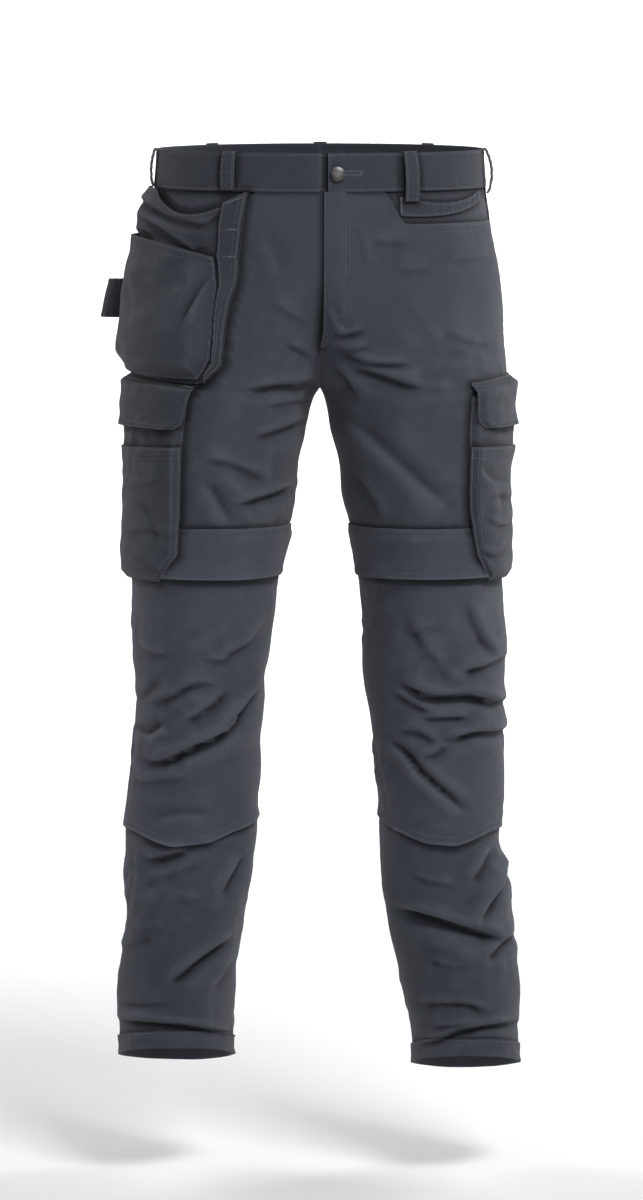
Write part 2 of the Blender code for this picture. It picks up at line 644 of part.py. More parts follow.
def make_loops():
    for number, (half, middle, stand, bottom) in enumerate(BELT_LOOPS, start=1):
        height, lift = loop_profile(stand, bottom)
        reach = math.degrees(LOOP_WIDTH / 2 / 0.15)
        angle = np.array((middle + reach, middle, middle - reach))[None, :]
        angle, height, lift = np.broadcast_arrays(angle, height, lift)
        cloth(f"belt_loop_{number}", half, angle, height, lift, "band")
    height, lift = loop_profile(BACK_LOOP_STAND, BACK_LOOP_BOTTOM)
    centre = angle_of("left", 0.0, height, -1)
    reach = math.degrees(LOOP_WIDTH / 2 / 0.17)
    angle = np.concatenate((centre + reach, centre, centre - reach), axis=1)
    angle, height, lift = np.broadcast_arrays(angle, height, lift)
    cloth("belt_loop_7", "left", angle, height, lift, "band")


def make_hammer_loop():
    """A band of webbing bent into an open loop, with both ends on the back panel beside the side seam."""
    turn = np.linspace(0.0, math.pi, 13)[None, :, None]
    height = np.array((HAMMER_TOP, (HAMMER_TOP + HAMMER_BOTTOM) / 2, HAMMER_BOTTOM))[:, None]
    first, last = HAMMER_ANGLES
    start = surface("right", first, height, LAYER_GAP)
    end = surface("right", last, height, LAYER_GAP)
    middle = surface("right", (first + last) / 2, height, 0.0)
    out = surface("right", (first + last) / 2, height, 1.0) - middle
    out[..., 2] = 0.0
    spread = 1 + HAMMER_SPREAD * np.sin(turn)
    path = (start + end) / 2 + (start - end) / 2 * np.cos(turn) * spread
    path = path + out * HAMMER_REACH * np.sin(turn) ** 0.8
    tangent = np.gradient(path, axis=1)
    normal = np.cross(tangent, (0.0, 0.0, 1.0))
    normal /= np.linalg.norm(normal, axis=-1, keepdims=True)
    offset = normal * HAMMER_CLOTH / 2
    wall("hammer_loop", path + offset, path - offset, "band")


def make_button():
    """A domed button that stands off the band's lap."""
    segments = 16
    face = BAND_CLOTH - CLOTH + LAYER_GAP
    angle = angle_of("left", BUTTON_X, np.float64(-0.002))
    base = surface("left", angle, -0.002, face)
    normal = surface("left", angle, -0.002, face + 0.01) - base
    normal /= np.linalg.norm(normal)
    across = np.cross((0.0, 0.0, 1.0), normal)
    across /= np.linalg.norm(across)
    up = np.cross(normal, across)
    profile = (
        (0.55, 0.00),
        (0.55, 0.30),
        (1.00, 0.42),
        (1.00, 0.62),
        (0.86, 0.84),
        (0.50, 0.97),
    )
    points = [tuple(base)]
    for radius, rise in profile:
        for k in range(segments):
            turn = 2 * math.pi * k / segments
            offset = across * math.cos(turn) + up * math.sin(turn)
            points.append(tuple(base + offset * radius * BUTTON_RADIUS + normal * rise * BUTTON_HEIGHT))
    points.append(tuple(base + normal * BUTTON_HEIGHT))
    faces = []
    last = len(points) - 1
    for k in range(segments):
        k_next = (k + 1) % segments
        faces.append((0, 1 + k_next, 1 + k))
        for ring in range(len(profile) - 1):
            a = 1 + ring * segments
            faces.append((a + k, a + k_next, a + segments + k_next, a + segments + k))
        top = 1 + (len(profile) - 1) * segments
        faces.append((top + k, top + k_next, last))
    mesh = bpy.data.meshes.new("button")
    mesh.from_pydata(points, [], faces)
    tidy = bmesh.new()
    tidy.from_mesh(mesh)
    bmesh.ops.recalc_face_normals(tidy, faces=tidy.faces)
    tidy.to_mesh(mesh)
    tidy.free()
    mesh.shade_smooth()
    mesh.set_sharp_from_angle(angle=math.radians(40))
    mesh.materials.append(material("metal"))
    made = bpy.data.objects.new("button", mesh)
    bpy.context.scene.collection.objects.link(made)


clear_scene()
make_panels()
make_knees()
make_hems()
make_waistband()
make_fly()
make_facings()
make_holster()
make_cargo()
make_loops()
make_hammer_loop()
make_button()
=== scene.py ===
# %% [markdown]
# # Work pants, worn shape with nobody in them
#
# This lesson dresses a pair of canvas work pants in Blender. The plain solids come in as a fixed frame, and
# each piece of cloth is made again as a thin shell on the same surface, with finer points, creases and
# sewing. The origin is the middle of the waistband and the front faces -Y, so the wearer's right leg is at
# -X. Lengths are metres and angles degrees.

# %% Load the frame
import math

import bmesh
import bpy
import numpy as np
from mathutils import Matrix, Vector, kdtree


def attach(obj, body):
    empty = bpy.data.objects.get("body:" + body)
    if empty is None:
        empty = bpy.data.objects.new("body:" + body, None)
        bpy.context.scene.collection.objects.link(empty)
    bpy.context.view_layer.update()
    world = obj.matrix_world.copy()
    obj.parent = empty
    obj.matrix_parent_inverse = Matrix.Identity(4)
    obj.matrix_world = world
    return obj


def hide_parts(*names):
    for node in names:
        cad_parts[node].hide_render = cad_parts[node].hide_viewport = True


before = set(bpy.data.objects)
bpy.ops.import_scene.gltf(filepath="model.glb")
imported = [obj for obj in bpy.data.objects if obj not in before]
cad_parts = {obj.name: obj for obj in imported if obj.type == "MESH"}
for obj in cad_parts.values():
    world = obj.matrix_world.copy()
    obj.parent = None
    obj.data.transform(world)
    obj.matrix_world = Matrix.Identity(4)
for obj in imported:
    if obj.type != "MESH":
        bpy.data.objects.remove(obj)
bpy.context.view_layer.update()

# %% [markdown]
# ## Camera
#
# A long lens from far off keeps the legs nearly parallel, as a catalogue picture does. The frame is 643 by
# 1200, and one step of it is 1.1 mm at the distance of the waistband's centre. The camera stands 5 degrees
# above the level, which shows a little of the inside of the waist.

# %% Camera
FRAME_WIDTH, FRAME_HEIGHT = 643, 1200
VIEW_STEP = 0.0011
VIEW_DISTANCE = 4.8
VIEW_RISE = math.radians(5.0)
WAIST_COLUMN, WAIST_ROW = 320.0, 171.0
drop = (FRAME_HEIGHT / 2 - WAIST_ROW) * VIEW_STEP / math.cos(VIEW_RISE)
aim = Vector(((FRAME_WIDTH / 2 - WAIST_COLUMN) * VIEW_STEP, 0.0, -drop))
lens = bpy.data.cameras.new("camera")
lens.sensor_fit = "VERTICAL"
lens.sensor_height = 24
lens.lens = 24 * VIEW_DISTANCE / (FRAME_HEIGHT * VIEW_STEP)
camera = bpy.data.objects.new("camera", lens)
bpy.context.scene.collection.objects.link(camera)
camera.location = aim + Vector((0.0, -math.cos(VIEW_RISE), math.sin(VIEW_RISE))) * VIEW_DISTANCE
camera.rotation_euler = (math.radians(90) - VIEW_RISE, 0.0, 0.0)
bpy.context.scene.camera = camera
print("lens", round(lens.lens, 1), "mm")

# %% [markdown]
# ## Studio
#
# The pants hang over a plain pale floor that curves up far behind them, so there is no horizon line. A soft
# key light stands high in front, to the camera's right, and a weak one fills from the front. The key's height
# makes every fold bright above and dark below. A low rim light on each side, a little behind, draws the legs'
# sides. The other four light the floor and the backdrop, which keeps them pale without lighting the cloth.

# %% Floor
FLOOR = -1.115
FLOOR_FRONT, SWEEP_START, FLOOR_HALF_WIDTH = -40.0, 5.8, 40.0
SWEEP_RADIUS, SWEEP_STEPS, BACKDROP_HEIGHT = 1.5, 8, 6.0
PAPER = (0.86, 0.86, 0.86, 1.0)


def studio_floor():
    bpy.ops.object.select_all(action="DESELECT")
    bpy.ops.mesh.primitive_plane_add(size=2.0, location=(0.0, (SWEEP_START + FLOOR_FRONT) / 2, FLOOR))
    floor = bpy.context.object
    floor.name = "floor"
    floor.scale = (FLOOR_HALF_WIDTH, (SWEEP_START - FLOOR_FRONT) / 2, 1.0)
    bpy.ops.object.transform_apply(location=True, rotation=True, scale=True)
    bpy.ops.object.mode_set(mode="EDIT")
    bpy.ops.mesh.select_all(action="DESELECT")
    bpy.ops.object.mode_set(mode="OBJECT")
    for edge in floor.data.edges:
        edge.select = all(floor.data.vertices[v].co.y > 0.0 for v in edge.vertices)
    bpy.ops.object.mode_set(mode="EDIT")
    bpy.context.tool_settings.mesh_select_mode = (False, True, False)
    turns = [math.radians(90 * step / SWEEP_STEPS) for step in range(SWEEP_STEPS + 1)]
    for before, turn in zip(turns, turns[1:]):
        back, up = math.sin(turn) - math.sin(before), math.cos(before) - math.cos(turn)
        move = (0.0, SWEEP_RADIUS * back, SWEEP_RADIUS * up)
        bpy.ops.mesh.extrude_region_move(TRANSFORM_OT_translate={"value": move})
    bpy.ops.mesh.extrude_region_move(TRANSFORM_OT_translate={"value": (0.0, 0.0, BACKDROP_HEIGHT)})
    bpy.ops.object.mode_set(mode="OBJECT")
    floor.data.shade_smooth()
    look = bpy.data.materials.new("studio_paper")
    look.use_nodes = True
    shader = look.node_tree.nodes["Principled BSDF"]
    shader.inputs["Base Color"].default_value = PAPER
    shader.inputs["Roughness"].default_value = 0.9
    floor.data.materials.append(look)
    print("floor:", len(floor.data.polygons), "faces")


studio_floor()

# %% Lights
SKY, SKY_STRENGTH = (0.93, 0.95, 1.0, 1.0), 0.17
# Columns: name, place, what it points at, width and height, power in watts.
LIGHTS = (
    ("key", (1.2, -2.2, 2.1), (0.0, 0.0, -0.3), (1.3, 0.8), 92),
    ("front_fill", (0.5, -3.4, 0.5), (0.0, 0.0, -0.3), (1.4, 1.4), 13),
    ("rim_left", (-1.9, 1.2, 0.6), (0.0, 0.0, -0.5), (0.6, 2.0), 8),
    ("rim_right", (1.9, 1.2, 0.6), (0.0, 0.0, -0.5), (0.6, 2.0), 12),
    ("floor_left", (-2.6, 1.6, 1.0), (-0.4, 3.6, FLOOR), (1.0, 3.0), 75),
    ("floor_right", (2.6, 1.6, 1.0), (0.4, 3.6, FLOOR), (1.0, 3.0), 75),
    ("backdrop_left", (-2.6, 4.0, 1.2), (-0.6, 7.2, 0.3), (1.0, 3.0), 130),
    ("backdrop_right", (2.6, 4.0, 1.2), (0.6, 7.2, 0.3), (1.0, 3.0), 130),
)


def soft_light(name, place, target, size, power):
    light = bpy.data.lights.new(name, "AREA")
    light.shape = "RECTANGLE"
    light.size, light.size_y = size
    light.energy = power
    made = bpy.data.objects.new(name, light)
    bpy.context.scene.collection.objects.link(made)
    made.location = place
    made.rotation_euler = (Vector(target) - Vector(place)).to_track_quat("-Z", "Y").to_euler()


for row in LIGHTS:
    soft_light(*row)
world = bpy.data.worlds.new("studio")
world.use_nodes = True
world.node_tree.nodes["Background"].inputs["Color"].default_value = SKY
world.node_tree.nodes["Background"].inputs["Strength"].default_value = SKY_STRENGTH
bpy.context.scene.world = world
bpy.context.scene.view_settings.view_transform = "Standard"

# %% [markdown]
# ## The worn surface
#
# Pants that are worn are a stack of rings. Each row of a table gives one ring: its height, how far its outer
# and inner sides stand from the middle, its depth before and behind the side seam, and its place in Y.
# Drawing the legs by hand would lose these sizes, so a table that is read smoothly is the better way, and
# every piece of cloth is then placed by an angle round the leg and a height. The angle is 0 at the outer
# side seam, 90 at the front, 180 at the inseam and -90 at the back.

# %% Rings of the seat and the legs
# Columns: height, outer side, inner side, depth in front, depth behind, place of the side seam in Y.
SEAT_RINGS = (
    (0.060, 0.1760, -0.1760, 0.113, 0.128, 0.000),
    (0.021, 0.1775, -0.1775, 0.115, 0.133, 0.000),
    (-0.021, 0.1805, -0.1805, 0.118, 0.138, 0.000),
    (-0.055, 0.1850, -0.1850, 0.121, 0.145, 0.000),
    (-0.090, 0.1905, -0.1890, 0.124, 0.151, 0.000),
    (-0.120, 0.1960, -0.1620, 0.125, 0.154, 0.000),
    (-0.145, 0.1990, -0.1080, 0.125, 0.154, 0.000),
    (-0.170, 0.2010, -0.0670, 0.125, 0.151, 0.000),
    (-0.205, 0.2030, -0.0310, 0.123, 0.144, -0.001),
    (-0.225, 0.2034, -0.0146, 0.121, 0.139, -0.002),
    (-0.240, 0.2030, 0.0000, 0.120, 0.135, -0.002),
)
RIGHT_RINGS = SEAT_RINGS + (
    (-0.253, 0.2045, 0.0080, 0.119, 0.132, -0.003),
    (-0.297, 0.2040, 0.0187, 0.116, 0.124, -0.005),
    (-0.341, 0.2040, 0.0253, 0.111, 0.116, -0.007),
    (-0.385, 0.2045, 0.0330, 0.104, 0.107, -0.009),
    (-0.430, 0.2050, 0.0429, 0.097, 0.099, -0.011),
    (-0.474, 0.2050, 0.0506, 0.090, 0.092, -0.012),
    (-0.516, 0.2030, 0.0561, 0.085, 0.088, -0.010),
    (-0.562, 0.2010, 0.0616, 0.081, 0.086, -0.006),
    (-0.606, 0.2035, 0.0660, 0.078, 0.086, 0.000),
    (-0.650, 0.2090, 0.0682, 0.076, 0.087, 0.006),
    (-0.694, 0.2120, 0.0693, 0.074, 0.087, 0.010),
    (-0.739, 0.2135, 0.0726, 0.073, 0.085, 0.013),
    (-0.783, 0.2160, 0.0770, 0.073, 0.083, 0.015),
    (-0.827, 0.2180, 0.0847, 0.072, 0.081, 0.017),
    (-0.871, 0.2205, 0.0902, 0.071, 0.079, 0.018),
    (-0.915, 0.2240, 0.0957, 0.070, 0.078, 0.019),
    (-0.960, 0.2230, 0.0968, 0.071, 0.079, 0.020),
    (-1.000, 0.2220, 0.0975, 0.072, 0.080, 0.020),
)
LEFT_RINGS = SEAT_RINGS + (
    (-0.253, 0.2008, 0.0055, 0.119, 0.132, -0.003),
    (-0.297, 0.1988, 0.0143, 0.116, 0.124, -0.005),
    (-0.341, 0.1978, 0.0220, 0.111, 0.116, -0.007),
    (-0.385, 0.1978, 0.0308, 0.104, 0.107, -0.009),
    (-0.430, 0.1985, 0.0416, 0.097, 0.099, -0.011),
    (-0.474, 0.1990, 0.0471, 0.090, 0.092, -0.012),
    (-0.518, 0.2030, 0.0495, 0.085, 0.088, -0.010),
    (-0.562, 0.2010, 0.0506, 0.081, 0.086, -0.006),
    (-0.606, 0.2010, 0.0561, 0.078, 0.086, 0.000),
    (-0.650, 0.2020, 0.0616, 0.076, 0.087, 0.006),
    (-0.694, 0.1990, 0.0660, 0.074, 0.087, 0.010),
    (-0.739, 0.1980, 0.0671, 0.073, 0.085, 0.013),
    (-0.783, 0.2085, 0.0682, 0.073, 0.083, 0.015),
    (-0.827, 0.2140, 0.0748, 0.072, 0.081, 0.017),
    (-0.871, 0.2185, 0.0858, 0.071, 0.079, 0.018),
    (-0.915, 0.2205, 0.0968, 0.070, 0.078, 0.019),
    (-0.960, 0.2200, 0.1045, 0.071, 0.079, 0.020),
    (-1.000, 0.2220, 0.1050, 0.072, 0.080, 0.020),
)
RINGS = {"right": np.array(RIGHT_RINGS), "left": np.array(LEFT_RINGS)}
SIGN = {"right": -1, "left": 1}
print("rings:", len(RIGHT_RINGS), "and", len(LEFT_RINGS))

# %% Read the rings smoothly
CROTCH_HEIGHT = -0.240
WAIST_TILT = 0.060
HEM_HEIGHT, HEM_TILT, HEM_TILT_START = -0.977, -0.28, -0.860
KNEE_PANEL_BOTTOM = -0.722
LEG_DROP = {"right": 0.0, "left": 0.009}


def smooth(value):
    """0 to 1 with no corner at either end."""
    value = np.clip(value, 0.0, 1.0)
    return value * value * (3.0 - 2.0 * value)


def table_at(table, height):
    """The table's columns at these heights, through its rows without a corner or an overshoot."""
    rows = table[::-1]
    x, y = rows[:, 0], rows[:, 1:]
    slope = np.diff(y, axis=0) / np.diff(x)[:, None]
    before, after = slope[:-1], slope[1:]
    same = before * after > 0
    tangent = np.zeros_like(y)
    tangent[1:-1] = np.where(same, 2.0 * before * after / np.where(same, before + after, 1.0), 0.0)
    height = np.clip(height, x[0], x[-1])
    index = np.clip(np.searchsorted(x, height) - 1, 0, len(x) - 2)
    span = (x[index + 1] - x[index])[..., None]
    t = (height - x[index])[..., None] / span
    cubic = (1 + 2 * t) * (1 - t) ** 2 * y[index] + t * t * (3 - 2 * t) * y[index + 1]
    bend = t * (1 - t) ** 2 * tangent[index] - t * t * (1 - t) * tangent[index + 1]
    return np.moveaxis(cubic + bend * span, -1, 0)


def tilt_at(height):
    """Rise in Z for each metre in Y: the waist slopes up to the back, and the hem down to it."""
    waist = WAIST_TILT * smooth((height - CROTCH_HEIGHT) / -CROTCH_HEIGHT)
    hem = HEM_TILT * smooth((HEM_TILT_START - height) / (HEM_TILT_START - HEM_HEIGHT))
    return waist + hem


def drop_at(half, height):
    return LEG_DROP[half] * smooth((KNEE_PANEL_BOTTOM - height) / (KNEE_PANEL_BOTTOM - HEM_HEIGHT))


print("tilt at the waist and the hem:", float(tilt_at(0.0)), float(tilt_at(HEM_HEIGHT)))


# %% Points of the worn surface
# The fly's edge stands off the middle plane, and comes back to it above the crotch.
FLY_OFFSET, FLY_RETURN, FLY_RETURN_HEIGHT = 0.0045, -0.205, 0.035


def ring_point(half, angle, height):
    """A point on the smooth surface, with the leg's outer side at +X on both legs."""
    outer, inner, front, back, middle = table_at(RINGS[half], height)
    turn = np.radians(angle)
    depth = np.where(np.asarray(angle) > 0, front, back)
    x = (outer + inner) / 2 + (outer - inner) / 2 * np.cos(turn)
    y = middle - depth * np.sin(turn)
    z = height + tilt_at(height) * y - drop_at(half, height)
    return np.stack(np.broadcast_arrays(x, y, z), axis=-1)


def ring_normal(half, angle, height):
    along = ring_point(half, angle + 0.5, height) - ring_point(half, angle - 0.5, height)
    rise = ring_point(half, angle, height + 0.002) - ring_point(half, angle, height - 0.002)
    normal = -np.cross(along, rise)
    return normal / np.linalg.norm(normal, axis=-1, keepdims=True)


def angle_of(half, distance, height, face=1):
    """The angle at which the surface is this far from the middle plane."""
    outer, inner = table_at(RINGS[half], height)[:2]
    cosine = (distance - (outer + inner) / 2) / ((outer - inner) / 2)
    return face * np.degrees(np.arccos(np.clip(cosine, -1.0, 1.0)))


def fly_offset(height):
    return FLY_OFFSET * smooth((height - FLY_RETURN) / FLY_RETURN_HEIGHT)


def seam_angle(half, height, face):
    """The angle of a panel's inner edge: the middle seam above the crotch and the inseam below it."""
    return angle_of(half, fly_offset(height) * SIGN[half] if face > 0 else 0.0, height)


print("inseam angle at the knee:", round(float(seam_angle("right", np.float64(-0.55), 1))))

# %% What the camera sees
FRONT_GUESS = -0.09


def seen(column, row):
    """Signed distance from the middle plane and height of what the camera sees there on the front."""
    right = (column - FRAME_WIDTH / 2) * VIEW_STEP
    up = (FRAME_HEIGHT / 2 - row) * VIEW_STEP
    far = aim + Vector((right, up * math.sin(VIEW_RISE), up * math.cos(VIEW_RISE)))
    ray = far - camera.location
    y = FRONT_GUESS
    for _ in range(4):
        share = (y - camera.location.y) / ray.y
        place = camera.location + ray * share
        half = "right" if place.x < 0 else "left"
        height = place.z - tilt_at(place.z) * y + float(drop_at(half, place.z))
        angle = angle_of(half, abs(place.x), np.float64(height))
        y = float(ring_point(half, max(float(angle), 0.01), np.float64(height))[1])
    return place.x, height


print("knee seen at", [round(v, 3) for v in seen(205, 650)])

# %% [markdown]
# ## Creases
#
# Worn canvas folds where the body bends: at the crotch, behind the knees and where the hem rests. Each crease
# is a line of a few points with a soft trough along it and a ridge beside it. A cloth simulation would make
# folds of its own choosing, so the main ones are listed one by one, and smaller ones come from sums of waves.
# Front creases are placed as the camera sees them, by column and row of its frame.

# %% Creases on the front
# Columns: depth, half width, side of the ridge (1 above, -1 below, 0 both), points along it.
FRONT_CREASES = (
    (0.0040, 0.0055, 1, (240, 397), (268, 388), (300, 384), (335, 380)),
    (0.0036, 0.0055, 1, (250, 441), (278, 432), (308, 417)),
    (0.0024, 0.0055, 1, (198, 460), (235, 467), (272, 484)),
    (0.0042, 0.0050, 1, (230, 508), (262, 499), (286, 490), (296, 486)),
    (0.0026, 0.0070, -1, (204, 478), (219, 500), (236, 527)),
    (0.0026, 0.0060, 1, (300, 400), (313, 386), (324, 372)),
    (0.0020, 0.0055, 1, (262, 408), (290, 404), (312, 398)),
    (0.0030, 0.0065, 1, (268, 610), (251, 641), (232, 654), (221, 662), (194, 659)),
    (0.0036, 0.0052, 1, (146, 705), (173, 697), (187, 688), (202, 684), (220, 687)),
    (0.0030, 0.0048, 1, (178, 727), (200, 714), (217, 702), (231, 686)),
    (0.0088, 0.0058, 1, (138, 762), (164, 761), (194, 747), (213, 739), (232, 727), (241, 713), (257, 688)),
    (0.0034, 0.0038, 1, (216, 734), (232, 716), (257, 689), (266, 656)),
    (0.0036, 0.0058, -1, (133, 722), (150, 733), (166, 720)),
    (0.0024, 0.0050, 1, (136, 700), (150, 690), (160, 676)),
    (0.0024, 0.0060, 1, (130, 778), (156, 782), (190, 776)),
    (0.0010, 0.0060, -1, (176, 640), (204, 632), (232, 612)),
    (0.0044, 0.0052, 1, (143, 861), (166, 857), (190, 851)),
    (0.0014, 0.0070, 1, (160, 906), (190, 903), (220, 902)),
    (0.0050, 0.0050, 1, (218, 900), (230, 880), (244, 852)),
    (0.0064, 0.0058, 1, (166, 988), (182, 976), (202, 960), (238, 933)),
    (0.0030, 0.0048, 1, (212, 994), (224, 978), (236, 958)),
    (0.0016, 0.0060, 1, (118, 950), (134, 946), (156, 934)),
    (0.0018, 0.0055, 1, (116, 1000), (142, 1006), (176, 1004)),
    (0.0014, 0.0050, 1, (150, 880), (176, 874), (204, 864)),
    (0.0012, 0.0050, 1, (190, 838), (216, 846), (240, 842)),
    (0.0020, 0.0050, -1, (150, 820), (180, 812), (214, 814)),
    (0.0022, 0.0055, 1, (136, 640), (150, 652), (172, 656)),
    (0.0044, 0.0062, 1, (343, 366), (384, 378), (428, 392)),
    (0.0030, 0.0085, -1, (338, 408), (380, 444), (432, 490), (464, 516)),
    (0.0022, 0.0060, 1, (352, 470), (372, 500), (380, 524)),
    (0.0022, 0.0090, 1, (398, 606), (430, 656), (464, 694)),
    (0.0090, 0.0056, 1, (394, 680), (423, 693), (440, 696), (463, 695), (475, 697), (494, 702), (514, 706)),
    (0.0036, 0.0044, 1, (392, 690), (410, 702), (434, 713)),
    (0.0032, 0.0040, 1, (420, 718), (446, 717), (470, 718)),
    (0.0058, 0.0048, 1, (440, 742), (467, 735), (482, 732), (512, 731)),
    (0.0030, 0.0044, 1, (422, 759), (437, 754), (446, 743)),
    (0.0030, 0.0048, 1, (396, 730), (419, 732), (440, 746)),
    (0.0052, 0.0042, -1, (384, 732), (406, 754), (416, 768), (425, 777), (452, 800), (470, 815)),
    (0.0044, 0.0055, 1, (458, 674), (484, 666), (508, 654)),
    (0.0030, 0.0060, 1, (464, 596), (474, 626), (496, 660)),
    (0.0010, 0.0060, 1, (408, 640), (424, 630), (446, 626)),
    (0.0090, 0.0062, 1, (388, 905), (428, 917), (470, 930), (512, 942)),
    (0.0058, 0.0050, 1, (474, 929), (498, 894), (512, 856)),
    (0.0052, 0.0050, 1, (486, 962), (504, 944), (518, 930)),
    (0.0034, 0.0060, 1, (412, 1003), (444, 1004), (470, 1006), (492, 1018)),
    (0.0018, 0.0055, 1, (404, 872), (430, 884), (462, 888)),
    (0.0014, 0.0050, 1, (424, 958), (450, 968), (480, 966)),
    (0.0040, 0.0050, 1, (494, 846), (484, 868), (470, 884)),
    (0.0026, 0.0050, 1, (430, 1030), (456, 1026), (480, 1030)),
    (0.0016, 0.0060, 1, (368, 242), (388, 244), (410, 243)),
    (0.0018, 0.0070, 1, (446, 264), (470, 262), (494, 257)),
    (0.0016, 0.0060, 1, (392, 271), (414, 273), (434, 271)),
    (0.0026, 0.0042, 1, (328, 330), (346, 336), (368, 330)),
    (0.0024, 0.0040, 1, (330, 345), (350, 351), (374, 345)),
    (0.0038, 0.0050, 1, (336, 352), (372, 364), (416, 366)),
    (0.0016, 0.0040, -1, (330, 300), (338, 318), (350, 332)),
    (0.0030, 0.0042, 1, (326, 362), (346, 380), (362, 404)),
    (0.0060, 0.0050, 1, (108, 1020), (150, 1024), (190, 1028), (240, 1040)),
    (0.0056, 0.0048, 1, (412, 1050), (440, 1040), (470, 1030), (528, 1022)),
    (0.0022, 0.0055, 1, (282, 344), (300, 352), (322, 366)),
    (0.0013, 0.0060, 1, (266, 300), (292, 318), (318, 336)),
    (0.0012, 0.0060, -1, (262, 234), (276, 252), (284, 280)),
    (0.0014, 0.0060, 1, (440, 330), (468, 344), (500, 346)),
    (0.0010, 0.0060, 1, (398, 300), (420, 322), (436, 352)),
    (0.0010, 0.0050, 1, (352, 222), (362, 244), (364, 270)),
)
print("front creases:", len(FRONT_CREASES))

# %% Creases on the back
# The same columns. Points are millimetres from the middle plane, right leg below zero, and of height.
BACK_CREASES = (
    (0.0050, 0.0075, 1, (-30, -258), (-80, -270), (-150, -286)),
    (0.0036, 0.0070, 1, (-50, -298), (-110, -312), (-178, -338)),
    (0.0034, 0.0065, -1, (-20, -222), (-70, -228), (-120, -246)),
    (0.0026, 0.0070, 1, (-70, -380), (-110, -372), (-150, -384)),
    (0.0046, 0.0070, 1, (-62, -458), (-120, -446), (-190, -440)),
    (0.0060, 0.0075, 1, (-66, -506), (-130, -490), (-200, -480)),
    (0.0036, 0.0060, -1, (-80, -532), (-110, -516), (-146, -508)),
    (0.0046, 0.0070, 1, (-74, -560), (-130, -544), (-196, -534)),
    (0.0030, 0.0060, 1, (-90, -592), (-130, -600), (-176, -588)),
    (0.0034, 0.0070, 1, (-96, -762), (-150, -746), (-206, -734)),
    (0.0052, 0.0075, 1, (-104, -856), (-150, -864), (-212, -882)),
    (0.0032, 0.0060, -1, (-120, -826), (-150, -816), (-184, -822)),
    (0.0044, 0.0065, 1, (-112, -912), (-160, -902), (-206, -906)),
    (0.0030, 0.0060, 1, (-120, -944), (-160, -940), (-200, -948)),
    (0.0050, 0.0075, 1, (28, -254), (82, -272), (152, -292)),
    (0.0034, 0.0070, 1, (52, -302), (108, -314), (168, -332)),
    (0.0032, 0.0065, -1, (22, -218), (74, -226), (118, -240)),
    (0.0024, 0.0070, 1, (66, -372), (104, -368), (150, -380)),
    (0.0044, 0.0070, 1, (60, -464), (118, -452), (186, -444)),
    (0.0058, 0.0075, 1, (64, -502), (126, -490), (196, -482)),
    (0.0034, 0.0060, -1, (82, -526), (110, -514), (150, -506)),
    (0.0042, 0.0070, 1, (70, -552), (128, -546), (190, -540)),
    (0.0030, 0.0060, 1, (92, -590), (128, -584), (170, -594)),
    (0.0040, 0.0070, 1, (84, -748), (136, -738), (190, -728)),
    (0.0054, 0.0075, 1, (108, -850), (156, -856), (212, -868)),
    (0.0032, 0.0060, -1, (118, -820), (152, -812), (188, -816)),
    (0.0042, 0.0065, 1, (114, -916), (158, -908), (200, -900)),
    (0.0028, 0.0060, 1, (124, -946), (160, -950), (196, -944)),
    (0.0026, 0.0075, 1, (-60, -70), (-90, -100), (-128, -120)),
    (0.0026, 0.0075, 1, (58, -74), (92, -98), (126, -124)),
    (0.0022, 0.0070, 1, (-24, -60), (-40, -90), (-44, -130)),
    (0.0022, 0.0070, 1, (24, -58), (42, -92), (46, -128)),
)
print("back creases:", len(BACK_CREASES))

# %% Lines through the creases' points
def curve_through(points, steps=4):
    """A smooth line through a few points."""
    points = np.array(points, float)
    padded = np.vstack((2 * points[0] - points[1], points, 2 * points[-1] - points[-2]))
    made = []
    for a, b, c, d in zip(padded, padded[1:], padded[2:], padded[3:]):
        for k in range(steps):
            t = k / steps
            made.append(0.5 * (2 * b + (c - a) * t + (2 * a - 5 * b + 4 * c - d) * t**2
                               + (3 * b - a - 3 * c + d) * t**3))
    made.append(points[-1])
    return np.array(made)


def make_lines():
    lines = []
    for deep, wide, side, *points in FRONT_CREASES:
        line = curve_through([seen(*point) for point in points])
        lines.append((1, deep, wide, side, line))
    for deep, wide, side, *points in BACK_CREASES:
        lines.append((-1, deep, wide, side, curve_through(np.array(points) / 1000.0)))
    return lines


CREASE_LINES = make_lines()
print("crease lines:", len(CREASE_LINES))


# %% The section of a crease
CREASE_END = 0.28


def beside(line, x, height):
    """Place along a line from 0 to 1 and signed distance from it, above it being more than zero."""
    a, b = line[:-1], line[1:]
    d = b - a
    size = np.linalg.norm(d, axis=1)
    start = np.concatenate(((0.0,), np.cumsum(size)[:-1]))
    px, ph = x[:, None] - a[:, 0], height[:, None] - a[:, 1]
    t = np.clip((px * d[:, 0] + ph * d[:, 1]) / size**2, 0.0, 1.0)
    ex, eh = px - t * d[:, 0], ph - t * d[:, 1]
    away = np.hypot(ex, eh)
    nearest = np.argmin(away, axis=1)
    pick = np.arange(len(x)), nearest
    turned = (d[:, 0] * ph - d[:, 1] * px)[pick]
    turned *= np.where(line[-1, 0] > line[0, 0], 1.0, -1.0)
    along = (start[nearest] + t[pick] * size[nearest]) / size.sum()
    return along, away[pick] * np.where(turned >= 0, 1.0, -1.0)


